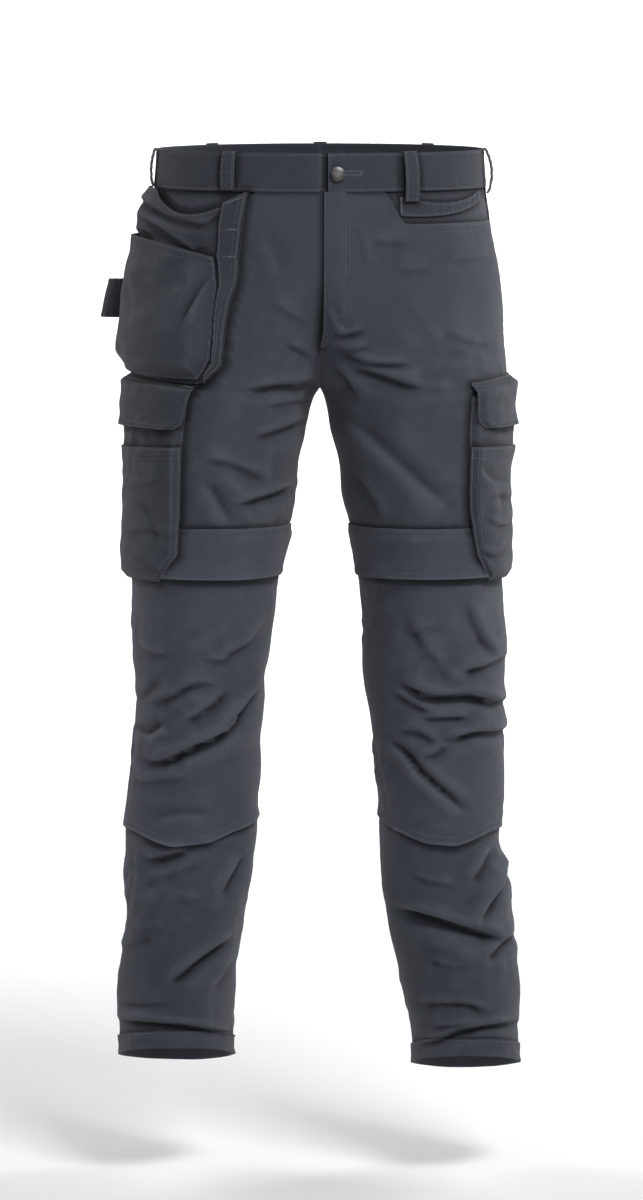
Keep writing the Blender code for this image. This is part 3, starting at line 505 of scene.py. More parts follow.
def trough(line, deep, wide, side, x, height):
    """The displacement of one crease: a bulge that drops steeply into a trough, which opens out gently."""
    along, away = beside(line, x, height)
    taper = smooth(along / CREASE_END) * smooth((1 - along) / CREASE_END)
    if not side:
        return -deep * taper * np.exp(-((away / wide) ** 2))
    out = away * side / wide
    cut = np.exp(-((out / np.where(out > 0, 0.42, 1.30)) ** 2))
    bulge = np.exp(-(((out - 1.20) / np.where(out > 1.20, 2.1, 0.85)) ** 2))
    beyond = np.exp(-(((out + 3.4) / 1.5) ** 2))
    return deep * taper * (0.80 * bulge + 0.25 * beyond - cut)


_, deep, wide, side, line = CREASE_LINES[0]
middle = line[len(line) // 2]
depth = trough(line, deep, wide, side, middle[:1], middle[1:])
print("first crease:", round(-float(depth[0]) * 1000, 1), "mm deep in its middle")


# %% [markdown]
# ## Small wrinkles
#
# Between the main creases canvas is never flat. Two sums of waves that run through space, one long and one
# short, move the surface by a millimetre or less. They are the same wherever two pieces meet, so a pocket
# never sinks into the leg below it. A fixed seed gives the same cloth every time.

# %% Waves
def wave_set(seed, count, shortest, longest, rms):
    rng = np.random.default_rng(seed)
    length = shortest * (longest / shortest) ** rng.random(count)
    way = rng.normal(size=(count, 3)) * (0.8, 0.8, 1.3)
    way /= np.linalg.norm(way, axis=1, keepdims=True)
    size = rms * math.sqrt(2.0 / count) * np.ones(count)
    return (2 * math.pi / length)[:, None] * way, rng.random(count) * 2 * math.pi, size


def swell(waves, place):
    way, start, size = waves
    return np.sin(place @ way.T + start) @ size


LONG_WAVES = wave_set(3, 22, 0.055, 0.170, 0.0010)
SHORT_WAVES = wave_set(5, 40, 0.014, 0.034, 0.00030)
PATCH_WAVES = wave_set(9, 14, 0.080, 0.240, 0.60)
CALM_HEIGHTS = np.array((0.06, -0.02, -0.10, -0.20, -0.30, -0.42, -0.52, -0.60, -0.72, -0.85, -1.00))
LIVELINESS = np.array((0.25, 0.45, 0.65, 1.00, 0.85, 0.90, 1.00, 1.15, 1.25, 1.30, 1.30))
SEAT_SEAM_TOP, SEAT_SEAM_END, SEAT_SEAM_REACH = -0.085, -0.290, 0.015


def relief(half, angle, height):
    """How far the cloth stands out from the smooth surface."""
    angle, height = np.broadcast_arrays(np.float64(angle), np.float64(height))
    shape = angle.shape
    place = ring_point(half, angle, height).reshape(-1, 3)
    place[:, 0] *= SIGN[half]
    x, level, turn = place[:, 0], height.ravel(), np.radians(angle.ravel())
    lively = np.interp(-level, -CALM_HEIGHTS, LIVELINESS)
    total = swell(LONG_WAVES, place) * lively
    total += swell(SHORT_WAVES, place) * lively * np.clip(0.55 + swell(PATCH_WAVES, place), 0.15, 1.7)
    facing = {1: smooth((np.sin(turn) + 0.6) / 0.6), -1: smooth((0.25 - np.sin(turn)) / 0.6)}
    for face, deep, wide, side, line in CREASE_LINES:
        low, high = line.min(axis=0) - 6 * wide, line.max(axis=0) + 6 * wide
        near = (x > low[0]) & (x < high[0]) & (level > low[1]) & (level < high[1]) & (facing[face] > 0.01)
        if near.any():
            total[near] += facing[face][near] * trough(line, deep, wide, side, x[near], level[near])
    # The cloth lies flat beside the seat seam and the crotch seam, so its halves meet there.
    flat = smooth((SEAT_SEAM_TOP - level) / 0.050) * smooth((level - SEAT_SEAM_END) / 0.030)
    total *= 1.0 - flat * np.exp(-((x / SEAT_SEAM_REACH) ** 2))
    return total.reshape(shape)


def shell(half, angle, height, lift):
    """Points of the surface moved out by lift, in the part's own frame."""
    angle, height = np.broadcast_arrays(np.float64(angle), np.float64(height))
    point = ring_point(half, angle, height) + ring_normal(half, angle, height) * np.asarray(lift)[..., None]
    point[..., 0] *= SIGN[half]
    return point


probe = relief("right", np.linspace(5, 175, 60)[None, :], np.linspace(-0.5, -0.95, 80)[:, None])
print("relief from", round(float(probe.min()) * 1000, 1), "to", round(float(probe.max()) * 1000, 1), "mm")

# %% [markdown]
# ## Canvas
#
# The cloth is a dark blue-grey canvas, washed once, with a fine weave and thread of its own colour. The weave
# is two crossed sets of waves on the piece's UV map, which is measured in metres, so the threads follow the
# cloth. Larger patches vary the tone a little. Two values are kept at each point: wear lightens ridges and
# edges, where cloth rubs, and a painted shade darkens folds, the shins and the cloth beside overlying edges.
# A photograph of cloth would bring its own light along, so everything is made from nodes.

# %% Nodes
def node(tree, kind, **values):
    made = tree.nodes.new(kind)
    for key, value in values.items():
        if hasattr(made, key):
            setattr(made, key, value)
        else:
            made.inputs[key.replace("_", " ")].default_value = value
    return made


def fed(tree, source, socket, kind, **values):
    """A node with one of its sockets linked to this source."""
    made = node(tree, kind, **values)
    tree.links.new(source, made.inputs[socket])
    return made


def combined(tree, operation, a, b):
    made = fed(tree, a, 0, "ShaderNodeMath", operation=operation)
    tree.links.new(b, made.inputs[1])
    return made.outputs["Value"]


print("node helpers ready")

# %% Cloth material
SHADE_DEPTH = 0.82


def canvas(name, colour, worn, weave=0.00075, crumple=1.0):
    """Cloth with crossed threads and slubs, a tone in patches, darker where shade is painted and lighter
    where worn.
    """
    look = bpy.data.materials.new(name)
    look.use_nodes = True
    tree = look.node_tree
    join = tree.links.new
    shader = tree.nodes["Principled BSDF"]
    for socket, value in (("Sheen Weight", 0.10), ("Sheen Roughness", 0.45), ("Specular IOR Level", 0.28)):
        shader.inputs[socket].default_value = value
    place = node(tree, "ShaderNodeTexCoord")

    def mapped(**values):
        return fed(tree, place.outputs["UV"], "Vector", "ShaderNodeMapping", **values).outputs["Vector"]

    def noise(vector=place.outputs["Object"], **values):
        return fed(tree, vector, "Vector", "ShaderNodeTexNoise", **values).outputs["Fac"]

    def spread(source, low, high):
        ranged = fed(tree, source, "Value", "ShaderNodeMapRange", From_Min=0.3, From_Max=0.7, To_Min=low,
                     To_Max=high)
        return ranged.outputs["Result"]

    def times(a, b):
        return combined(tree, "MULTIPLY", a, b)

    def bump(height, below=None, **values):
        made = fed(tree, height, "Height", "ShaderNodeBump", **values)
        if below:
            join(below, made.inputs["Normal"])
        return made.outputs["Normal"]

    threads = [fed(tree, mapped(Rotation=(0.0, 0.0, turn)), "Vector", "ShaderNodeTexWave",
                   Scale=1.0 / (weave * 3.18), Distortion=0.6, Detail=1.0, Detail_Scale=2.0).outputs["Fac"]
               for turn in (0.0, math.radians(90))]
    woven = combined(tree, "ADD", *threads)
    fibre = noise(Scale=900.0, Detail=2.0)
    slub = noise(mapped(Scale=(420.0, 36.0, 1.0)), Scale=1.0, Detail=2.0, Roughness=0.6)
    patch = noise(Scale=7.0, Detail=4.0, Roughness=0.6)
    speckle = noise(Scale=60.0, Detail=4.0, Roughness=0.65)
    folds = noise(Scale=85.0, Detail=3.0, Roughness=0.55, Distortion=0.6)

    tone = times(times(spread(patch, 0.90, 1.10), spread(slub, 0.96, 1.04)), spread(speckle, 0.92, 1.08))
    # Painted shade: the shade value darkens the base colour in folds, down the shins and beside overlying
    # edges.
    shade = node(tree, "ShaderNodeAttribute", attribute_name="shade")
    painted_shade_dim = fed(tree, shade.outputs["Fac"], 0, "ShaderNodeMath", operation="MULTIPLY_ADD")
    painted_shade_dim.inputs[1].default_value, painted_shade_dim.inputs[2].default_value = -SHADE_DEPTH, 1.0
    wear = node(tree, "ShaderNodeAttribute", attribute_name="wear")
    mix = fed(tree, wear.outputs["Fac"], 0, "ShaderNodeMix", data_type="RGBA")
    mix.inputs[6].default_value = (*colour, 1.0)
    mix.inputs[7].default_value = (*worn, 1.0)
    toned = fed(tree, mix.outputs[2], 0, "ShaderNodeVectorMath", operation="SCALE")
    join(times(tone, painted_shade_dim.outputs["Value"]), toned.inputs["Scale"])
    join(toned.outputs["Vector"], shader.inputs["Base Color"])
    join(spread(speckle, 0.80, 0.94), shader.inputs["Roughness"])
    fine = bump(woven, Distance=0.00014, Strength=0.75)
    hairs = bump(fibre, fine, Distance=0.00012, Strength=0.5)
    join(bump(folds, hairs, Distance=0.0011 * crumple, Strength=0.6), shader.inputs["Normal"])
    return look


LEG_CANVAS = canvas("leg_canvas", (0.0420, 0.0490, 0.0640), (0.076, 0.086, 0.107))
KNEE_CANVAS = canvas("knee_canvas", (0.0480, 0.0550, 0.0710), (0.083, 0.093, 0.114))
POCKET_CANVAS = canvas("pocket_canvas", (0.0320, 0.0380, 0.0490), (0.064, 0.073, 0.090))
BAND_CANVAS = canvas("band_canvas", (0.0320, 0.0375, 0.0480), (0.062, 0.071, 0.088), crumple=0.6)
print("canvas looks:", [m.name for m in bpy.data.materials if m.name.endswith("canvas")])

# %% Thread, webbing and metal
def plain_look(name, colour, rough, metal=0.0, grain=400.0, depth=0.0001):
    """A plain material whose colour, roughness and height all follow one fine grain."""
    look = bpy.data.materials.new(name)
    look.use_nodes = True
    tree = look.node_tree
    shader = tree.nodes["Principled BSDF"]
    shader.inputs["Metallic"].default_value = metal
    place = node(tree, "ShaderNodeTexCoord")
    noise = fed(tree, place.outputs["Object"], "Vector", "ShaderNodeTexNoise", Scale=grain, Detail=3.0)
    ramp = fed(tree, noise.outputs["Fac"], "Fac", "ShaderNodeValToRGB")
    for stop, position, bright in zip(ramp.color_ramp.elements, (0.3, 0.7), (0.8, 1.2)):
        stop.position = position
        stop.color = (*[c * bright for c in colour], 1.0)
    rougher = fed(tree, noise.outputs["Fac"], "Value", "ShaderNodeMapRange", To_Min=rough - 0.08,
                  To_Max=rough + 0.08)
    bump = fed(tree, noise.outputs["Fac"], "Height", "ShaderNodeBump", Distance=depth, Strength=0.5)
    tree.links.new(ramp.outputs["Color"], shader.inputs["Base Color"])
    tree.links.new(rougher.outputs["Result"], shader.inputs["Roughness"])
    tree.links.new(bump.outputs["Normal"], shader.inputs["Normal"])
    return look


THREAD = plain_look("thread", (0.105, 0.115, 0.138), 0.62, grain=2500.0, depth=0.00005)
DARK_METAL = plain_look("dark_metal", (0.115, 0.112, 0.108), 0.34, metal=1.0, grain=260.0, depth=0.00003)
WEBBING = canvas("webbing_weave", (0.030, 0.034, 0.042), (0.060, 0.066, 0.080), weave=0.0014, crumple=0.3)
print("other looks ready")

# %% [markdown]
# ## Making a piece of cloth
#
# Every piece is a grid of points on the worn surface. Its skin says how far each point stands out: the
# creases, plus the layers below it, plus its own puffed or rolled shape. The grid gets its UV map and its
# wear, and Solidify gives it the thickness of the cloth, inwards, so the given points stay outside.

# %% Wear and shade
def arc_lengths(points, axis):
    step = np.linalg.norm(np.diff(points, axis=axis), axis=-1)
    start = np.zeros_like(np.take(step, [0], axis=axis))
    return np.concatenate((start, np.cumsum(step, axis=axis)), axis=axis)


BLUR_STEPS = 12
RIDGE_HEIGHT, FOLD_DEPTH = 0.0022, 0.0028
EDGE_WEAR, EDGE_WIDTH = 0.55, 0.0016
SHIN_SHADE, SHIN_START = 0.17, -0.74


def wear_and_painted_shade(points, lift, edges=True):
    """Wear is more on ridges and at the piece's edges; a painted shade is more in the folds and down the
    shins.
    """
    blurred = lift.copy()
    for _ in range(BLUR_STEPS):
        padded = np.pad(blurred, 1, mode="edge")
        blurred = (padded[:-2, 1:-1] + padded[2:, 1:-1] + padded[1:-1, :-2] + padded[1:-1, 2:]) / 4
    wear = np.clip((lift - blurred) / RIDGE_HEIGHT, 0.0, 0.55)
    # Painted shade: darker in the folds, where shade falls, and darker down the shins, where the light falls
    # off.
    shade = np.clip((blurred - lift) / FOLD_DEPTH - 0.25, 0.0, 0.9)
    shade = np.clip(shade + SHIN_SHADE * smooth((SHIN_START - points[..., 2]) / 0.16), 0.0, 0.9)
    if edges:
        across, down = arc_lengths(points, 1), arc_lengths(points, 0)
        gap = np.minimum(np.minimum(across, across[:, -1:] - across), np.minimum(down, down[-1:] - down))
        wear += EDGE_WEAR * np.exp(-((gap / EDGE_WIDTH) ** 2))
    return np.clip(wear, 0.0, 1.0), shade


print("cloth is darker by", round(SHIN_SHADE * SHADE_DEPTH, 2), "at the hems")


# %% Grids of points into meshes
def grid_normals(points):
    """Unit normals of a grid of points, on one side of it or the other."""
    normal = np.cross(np.gradient(points, axis=1), np.gradient(points, axis=0))
    normal /= np.maximum(np.linalg.norm(normal, axis=-1, keepdims=True), 1e-12)
    return normal


def grid_object(name, points, wear, look, outward, closed=False):
    """A grid of points as a mesh that faces outwards, with UVs in metres, wear and shade."""
    rows, columns = points.shape[:2]
    last = columns if closed else columns - 1
    i, j = np.meshgrid(np.arange(rows - 1), np.arange(last), indexing="ij")
    a, b = i * columns + j, i * columns + (j + 1) % columns
    faces = np.stack((a, a + columns, b + columns, b), axis=-1).reshape(-1, 4)
    flat = points.reshape(-1, 3)
    corners = flat[faces[::17]]
    facing = np.cross(corners[:, 1] - corners[:, 0], corners[:, 3] - corners[:, 0])
    if (facing * outward.reshape(-1, 3)[faces[::17, 0]]).sum() < 0:
        faces = faces[:, ::-1]
    mesh = bpy.data.meshes.new(name)
    mesh.from_pydata(flat.tolist(), [], faces.tolist())
    across, down = arc_lengths(points, 1), arc_lengths(points, 0)
    place = np.stack((across.ravel(), -down.ravel()), axis=-1)
    corner = np.empty(len(mesh.loops), np.int32)
    mesh.loops.foreach_get("vertex_index", corner)
    layer = mesh.uv_layers.new(name="UVMap")
    layer.data.foreach_set("uv", place[corner].astype(np.float32).ravel())
    for word, values in zip(("wear", "shade"), wear):
        made = mesh.attributes.new(word, "FLOAT", "POINT")
        made.data.foreach_set("value", values.ravel().astype(np.float32))
    mesh.materials.append(look)
    made = bpy.data.objects.new(name, mesh)
    bpy.context.scene.collection.objects.link(made)
    return made


print("grid maker ready")

# %% Puckers beside the sewing
SIDES = {"left": (1, False), "right": (1, True), "top": (0, False), "bottom": (0, True)}
PUCKER_HEIGHT, PUCKER_PITCH, PUCKER_DRIFT, PUCKER_WIDTH = 0.00030, 0.0085, 0.051, 0.0060
ROW_DEPTH, ROW_WIDTH = 0.00042, 0.0010


def sewn(insets, *sides, first=0.0, last=1.0):
    """Rows of sewing at these distances inside each side, over a part of the side's length."""
    return tuple((side, insets, first, last) for side in sides)


def gap_from(points, side):
    """Distance of each point of a grid from one of its sides, along the grid."""
    axis, far = SIDES[side]
    length = arc_lengths(points, axis)
    return np.take(length, [-1], axis=axis) - length if far else length


def pull_in(points, normal, seams):
    """Sewing pulls cloth in along each row and puckers it beside the row."""
    moved = np.zeros(points.shape[:2])
    for side, insets, first, last in seams:
        axis = SIDES[side][0]
        gap = gap_from(points, side)
        along = arc_lengths(points, 1 - axis)
        total = np.maximum(along.max(axis=1 - axis, keepdims=True), 1e-6)
        share = along / total
        inside = smooth((share - first) / 0.02 + 0.5) * smooth((last - share) / 0.02 + 0.5)
        drift = 2.2 * np.sin(along * 2 * math.pi / PUCKER_DRIFT + len(side))
        wave = np.sin(along * 2 * math.pi / PUCKER_PITCH + drift)
        pucker = PUCKER_HEIGHT * wave * np.exp(-(((gap - max(insets)) / PUCKER_WIDTH) ** 2))
        rows = sum(-ROW_DEPTH * np.exp(-(((gap - inset) / ROW_WIDTH) ** 2)) for inset in insets)
        moved += inside * (pucker + rows)
    return points + normal * moved[..., None]


print("double row:", sewn((0.0022, 0.0082), "left"))

# %% Cloth maker
GRIDS = {}
CLOTH = 0.0015
SMOOTH_ANGLE = math.radians(50)


def thicken(piece, thick):
    bpy.ops.object.select_all(action="DESELECT")
    piece.select_set(True)
    bpy.context.view_layer.objects.active = piece
    wall = piece.modifiers.new("wall", "SOLIDIFY")
    wall.thickness = thick
    wall.offset = -1.0
    wall.use_even_offset = False
    bpy.ops.object.modifier_apply(modifier="wall")
    bpy.ops.object.shade_smooth_by_angle(angle=SMOOTH_ANGLE)


def declare(piece, name):
    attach(piece, "root")
    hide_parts(name)


def finish_cloth(name, points, outward, wear, look, thick, closed, seams):
    normal = grid_normals(points)
    normal *= np.sign((normal * outward).sum(axis=-1, keepdims=True) + 1e-12)
    points = pull_in(points, normal, seams)
    GRIDS[name] = points, normal, seams
    piece = grid_object(f"{name}_cloth", points, wear, look, outward, closed)
    thicken(piece, thick)
    declare(piece, name)
    return piece


def cloth(name, half, angle, height, skin, look, slot, thick=CLOTH, closed=False, edges=True,
          held="stretched", rests_on=(), seams=()):
    """A piece of cloth whose outer face stands out by skin(angle, height)."""
    angle, height = np.broadcast_arrays(np.float64(angle), np.float64(height))
    lift = skin(angle, height)
    points = shell(half, angle, height, lift)
    outward = ring_normal(half, angle, height) * (SIGN[half], 1.0, 1.0)
    # Each point's wear, and its painted shade of folds and shins.
    wear = wear_and_painted_shade(points, lift, edges)
    return finish_cloth(name, points, outward, wear, look, thick, closed, seams)


print("cloth maker ready")

# %% [markdown]
# ## The legs
#
# Each leg is cut as a front and a back panel, sewn at the outseam and the inseam. The front panel has a
# scooped hip pocket mouth, so its top rows drop towards the side. The columns stand closer together near
# the seams, where the back panel laps over in a low ridge.

# %% Front and back panels
PANEL_COLUMNS = 84
BAND_HALF_HEIGHT = 0.0205
TOP = -BAND_HALF_HEIGHT
KNEE_BAND_TOP = -0.388
POCKET_MOUTH_DROP, POCKET_MOUTH_ANGLE = 0.036, 64.0
# A leg's mean radius turns angles into widths.
LEG_RADIUS = 0.095
MOUTH_LEVEL = -0.117
LAP_HEIGHT, LAP_WIDTH, LAP_END = 0.0006, 0.0095, -0.950


def mouth_top(angle):
    """Height of the front panel's top edge, lower over the hip pocket."""
    return TOP - POCKET_MOUTH_DROP * smooth((POCKET_MOUTH_ANGLE + 4.0 - angle) / 8.0)


def panel_place(half, face, share, level):
    """Angle and height on a panel: share runs from the side seam to the middle, level down the leg."""
    share, level = np.broadcast_arrays(np.float64(share), np.float64(level))
    angle = share * seam_angle(half, level, face)
    height = level.copy()
    if face > 0:
        top = mouth_top(share * seam_angle(half, np.float64(TOP), face))
        part = np.clip((level - TOP) / (MOUTH_LEVEL - TOP), 0.0, 1.0)
        height = np.where(level > MOUTH_LEVEL, top + part * (MOUTH_LEVEL - top), level)
    return face * angle, height


def leg_skin(half):
    def skin(angle, height):
        seam = np.radians(-angle) * LEG_RADIUS
        ridge = LAP_HEIGHT * smooth(seam / 0.0006) * smooth((LAP_WIDTH - seam) / 0.0015)
        under_band = 1.0 - 0.5 * smooth((height - TOP + 0.014) / 0.014)
        return under_band * relief(half, angle, height) + ridge * smooth((height - LAP_END) / 0.004)
    return skin


def crowded(count, crowd=0.7):
    """0 to 1 in steps that are smaller at both ends."""
    even = np.linspace(0.0, 1.0, count)
    return even - crowd * np.sin(2 * math.pi * even) / (2 * math.pi)


def graded(*spans):
    """Heights from span to span, each span given as its lower end and its number of rows."""
    start, made = spans[0], [spans[0]]
    for end, count in spans[1:]:
        made += list(np.linspace(start, end, count + 1)[1:])
        start = end
    return np.array(made)


FRONT_LEVELS = graded(TOP, (KNEE_BAND_TOP - 0.012, 154), (KNEE_PANEL_BOTTOM + 0.014, 30), (HEM_HEIGHT, 124))
BACK_LEVELS = graded(TOP, (HEM_HEIGHT, 215))


def make_panels():
    share = crowded(PANEL_COLUMNS)[None, :]
    for half in ("right", "left"):
        for face, word, levels in ((1, "front", FRONT_LEVELS), (-1, "back", BACK_LEVELS)):
            angle, height = panel_place(half, face, share, levels[:, None])
            if face < 0:
                # The middle seam is sewn down on the left panel, and only the inseam on the right one.
                inseam = (levels[0] - CROTCH_HEIGHT - 0.02) / (levels[0] - levels[-1])
                first = 0.0 if half == "left" else inseam
                seams = (sewn((0.0022, 0.0082), "left", last=0.97)
                         + sewn((0.0022, 0.0082), "right", first=first, last=0.97))
            else:
                seams = sewn((0.0030, 0.0090), "top", last=0.50)
            cloth(f"{word}_{half}", half, angle, height, leg_skin(half), LEG_CANVAS, "canvas",
                  rests_on=[f"waistband_{half}_cloth"], seams=seams)


make_panels()
print("panels:", sorted(GRIDS))

# %% [markdown]
# ## Knees and hems
#
# The knee is doubled by a panel that is sewn on with two rows, and a band laps over its top. Both follow the
# front panel's own places, so their sides run into the seams. The hem is the leg's end turned up and sewn
# once, which makes it a little thicker and stiffer than the leg.

# %% Knee panels and knee bands
# The gap under a layer that is sewn on.
LAYER_GAP = 0.0004
KNEE_BAND_LAP, KNEE_BAND_BOTTOM = -0.414, -0.441
# A knee panel's lower edge: small gathers, and a looser stretch about the middle of the knee.
GATHER, LOOSE, LOOSE_ANGLE, LOOSE_SPREAD, LOOSE_HEIGHT = 0.0005, 0.0046, 74, 24, 0.012
BAND_FLARE, BAND_FLARE_HEIGHT = 0.0042, 0.026


def roll(gap, deep=0.0006, wide=0.0035):
    """A folded edge is thicker than the cloth inside it."""
    return deep * np.exp(-((np.maximum(gap - 0.0012, 0.0) / wide) ** 2))


def knee_skin(half):
    base = leg_skin(half)

    def skin(angle, height):
        gap = height - height[-1:]
        gather = GATHER * np.sin(angle * 1.9 + 2.0 * np.sin(angle * 0.23)) * np.exp(-gap / LOOSE_HEIGHT)
        loose = LOOSE * np.exp(-(((angle - LOOSE_ANGLE) / LOOSE_SPREAD) ** 2)) * np.exp(-gap / LOOSE_HEIGHT)
        return base(angle, height) + LAYER_GAP + CLOTH + 0.0002 + roll(gap) + np.abs(gather) + loose
    return skin


def panel_hang(share, level):
    """The knee panel's lower edge sags in the middle and rises to the inseam."""
    sag = np.interp(share, (0.0, 0.22, 0.42, 0.58, 0.72, 1.0), (0.001, 0.004, 0.015, 0.013, 0.003, -0.010))
    return level - sag * smooth((KNEE_PANEL_BOTTOM + 0.060 - level) / 0.060)


def band_skin(half):
    base = leg_skin(half)

    def skin(angle, height):
        over = smooth((KNEE_BAND_TOP - height) / 0.012)
        gap = height - KNEE_BAND_BOTTOM
        flare = BAND_FLARE * smooth((BAND_FLARE_HEIGHT - gap) / BAND_FLARE_HEIGHT)
        flare = flare * smooth(angle / 30) * smooth((178 - angle) / 45)
        layers = LAYER_GAP + CLOTH + over * (LAYER_GAP + CLOTH + 0.0006)
        return base(angle, height) + layers + roll(gap) + flare
    return skin


def make_knees():
    share = crowded(PANEL_COLUMNS)[None, :]
    for half in ("right", "left"):
        level = graded(KNEE_BAND_LAP, (KNEE_BAND_BOTTOM + 0.004, 8), (KNEE_PANEL_BOTTOM, 150))[:, None]
        angle, height = panel_place(half, 1, share, panel_hang(share, level))
        cloth(f"knee_panel_{half}", half, angle, height, knee_skin(half), KNEE_CANVAS, "knee_canvas",
              rests_on=[f"front_{half}_cloth"], seams=sewn((0.0026, 0.0090), "bottom"))
        level = np.linspace(KNEE_BAND_TOP, KNEE_BAND_BOTTOM, 30)[:, None]
        angle, height = panel_place(half, 1, share, level)
        cloth(f"knee_band_{half}", half, angle, height, band_skin(half), KNEE_CANVAS, "knee_canvas",
              rests_on=[f"front_{half}_cloth"], seams=sewn((0.0024,), "top") + sewn((0.0070,), "bottom"))


make_knees()
print("knee pieces:", sum("knee" in name for name in GRIDS))

# %% Hems
HEM_DEPTH = 0.020


def hem_skin(half):
    base = leg_skin(half)
    return lambda angle, height: base(angle, height) + LAYER_GAP + CLOTH + roll(height - HEM_HEIGHT, 0.0008)


def make_hems():
    level = np.linspace(HEM_HEIGHT + HEM_DEPTH, HEM_HEIGHT, 14)[:, None]
    for half in ("right", "left"):
        share = crowded(80, 0.4)[None, :]
        front_angle, front_height = panel_place(half, 1, share, level)
        back_angle, back_height = panel_place(half, -1, share[:, ::-1], level)
        angle = np.concatenate((front_angle, back_angle), axis=1)
        height = np.concatenate((front_height, back_height), axis=1)
        cloth(f"hem_{half}", half, angle, height, hem_skin(half), LEG_CANVAS, "canvas", closed=True,
              edges=False, rests_on=[f"front_{half}_cloth", f"back_{half}_cloth"],
              seams=sewn((0.0022,), "top"))


make_hems()
print("pieces so far:", len(GRIDS))

# %% [markdown]
# ## Waistband, fly and hip pockets
#
# The waistband is two halves of doubled cloth. The wearer's left end laps over the right one and carries the
# button. The fly lies on the left front, with a curved row of sewing like a J. Behind each scooped pocket
# mouth a facing shows, and on the left the edge of a tool pouch that is tucked into the pocket.

# %% Waistband
BAND_CLOTH, BAND_LAP = 0.0025, 0.0088


def waist_skin(half):
    def skin(angle, height):
        lift = np.full(angle.shape, BAND_CLOTH - CLOTH) + 0.5 * relief(half, angle, height)
        if half == "right":
            lap = float(angle_of(half, -BAND_LAP + 0.002, np.float64(0.0)))
            lift = lift - (BAND_CLOTH + LAYER_GAP + 0.0012) * smooth((angle - lap + 2.0) / 2.0)
        gap = np.minimum(BAND_HALF_HEIGHT - height, height + BAND_HALF_HEIGHT)
        return lift - 0.0003 * np.exp(-((gap / 0.0012) ** 2))
    return skin


def make_waistband():
    height = (BAND_HALF_HEIGHT * (1 - 2 * crowded(22, 0.5)))[:, None]
    for half, end in (("right", -BAND_LAP - 0.024), ("left", BAND_LAP)):
        front = float(angle_of(half, end, np.float64(0.0)))
        back = float(seam_angle(half, np.float64(0.0), -1))
        angle = (-back + (front + back) * crowded(200, 0.5))[None, :]
        cloth(f"waistband_{half}", half, angle, height, waist_skin(half), BAND_CANVAS, "waistband_canvas",
              thick=BAND_CLOTH, rests_on=["front_right", "front_left", "back_right", "back_left"],
              seams=sewn((0.0026,), "top", "bottom", "right"))


make_waistband()
print("waistband:", round(2 * BAND_HALF_HEIGHT * 1000), "mm high")

# %% Fly
# The gap under the edge of a pouch or of the fly.
PATCH_GAP = 0.0010
FLY_END = -0.192
FLY_CURVE_TOP, FLY_CURVE_HEIGHT = -0.150, 0.048
FLY_LEAST, FLY_CURVE_WIDTH, FLY_SINK = 0.006, 0.0235, 0.007


def fly_edge(height):
    """The fly's width: straight down, then curving in to its end like a J."""
    curve = np.sqrt(np.clip(1 - ((FLY_CURVE_TOP - height) / FLY_CURVE_HEIGHT).clip(0.0, 1.0) ** 2, 0.0, 1.0))
    return FLY_LEAST + FLY_CURVE_WIDTH * curve


def fly_place(share, height):
    share, height = np.broadcast_arrays(np.float64(share), np.float64(height))
    angle = angle_of("left", fly_offset(height) + share * fly_edge(height), height)
    return np.minimum(angle, seam_angle("left", height, 1)), height


def fly_skin(angle, height):
    """The fly stands over the right front, and its sewn side sinks to the left front's own surface."""
    inside = smooth(np.radians(angle - angle[:, -1:]) * LEG_RADIUS / FLY_SINK)
    return relief("left", angle, height) + 0.0004 + (PATCH_GAP + CLOTH - 0.0004) * inside


def make_fly():
    height = np.linspace(TOP, FLY_END, 90)[:, None]
    angle, height = fly_place(np.linspace(0.0, 1.0, 22)[None, :], height)
    cloth("fly", "left", angle, height, fly_skin, LEG_CANVAS, "canvas", edges=False,
          rests_on=["front_left_cloth"], seams=sewn((0.0016, 0.0070), "right") + sewn((0.0018,), "left"))


make_fly()
print("fly:", round((TOP - FLY_END) * 1000), "mm long")

# %% Facings and the tucked pouch
FACING_END = -0.076


def facing_skin(half, out=0.0):
    return lambda angle, height: -CLOTH - LAYER_GAP + out + 0.4 * relief(half, angle, height)


def make_facings():
    for half in ("right", "left"):
        angle = np.linspace(0.0, 0.8 * float(seam_angle(half, np.float64(TOP), 1)), 70)[None, :]
        height = np.linspace(TOP, FACING_END, 26)[:, None]
        cloth(f"pocket_facing_{half}", half, angle, height, facing_skin(half), LEG_CANVAS, "canvas",
              edges=False, rests_on=[f"waistband_{half}"])


def make_tucked_pocket():
    """The mouth of the tool pouch inside the left hip pocket hangs in a shallow curve."""
    low, high = (share * float(seam_angle("left", np.float64(TOP), 1)) for share in (0.2, 0.7))
    share = np.linspace(0.0, 1.0, 60)[None, :]
    down = np.linspace(0.0, 1.0, 14)[:, None]
    scoop = 4 * share * (1 - share)
    top = -0.0225 - 0.003 * share - 0.010 * scoop
    bottom = -0.034 - 0.013 * share - 0.006 * scoop
    height = top + (bottom - top) * down
    angle = np.broadcast_to(low + (high - low) * share, height.shape)
    cloth("tucked_pocket_left", "left", angle, height, facing_skin("left", CLOTH + LAYER_GAP + 0.0002),
          POCKET_CANVAS, "canvas", rests_on=["pocket_facing_left_cloth"],
          seams=sewn((0.0022,), "top", "bottom"))


make_facings()
make_tucked_pocket()
print("pieces so far:", len(GRIDS))

# %% [markdown]
# ## Pouches
#
# The hanging tool pocket and the thigh pockets are patches whose edges are given row by row, from top to
# bottom. Within a bevel's width of its sides and bottom a patch rises off the leg, so it reads as a pouch
# with side walls, and the mouth at its top stays open.

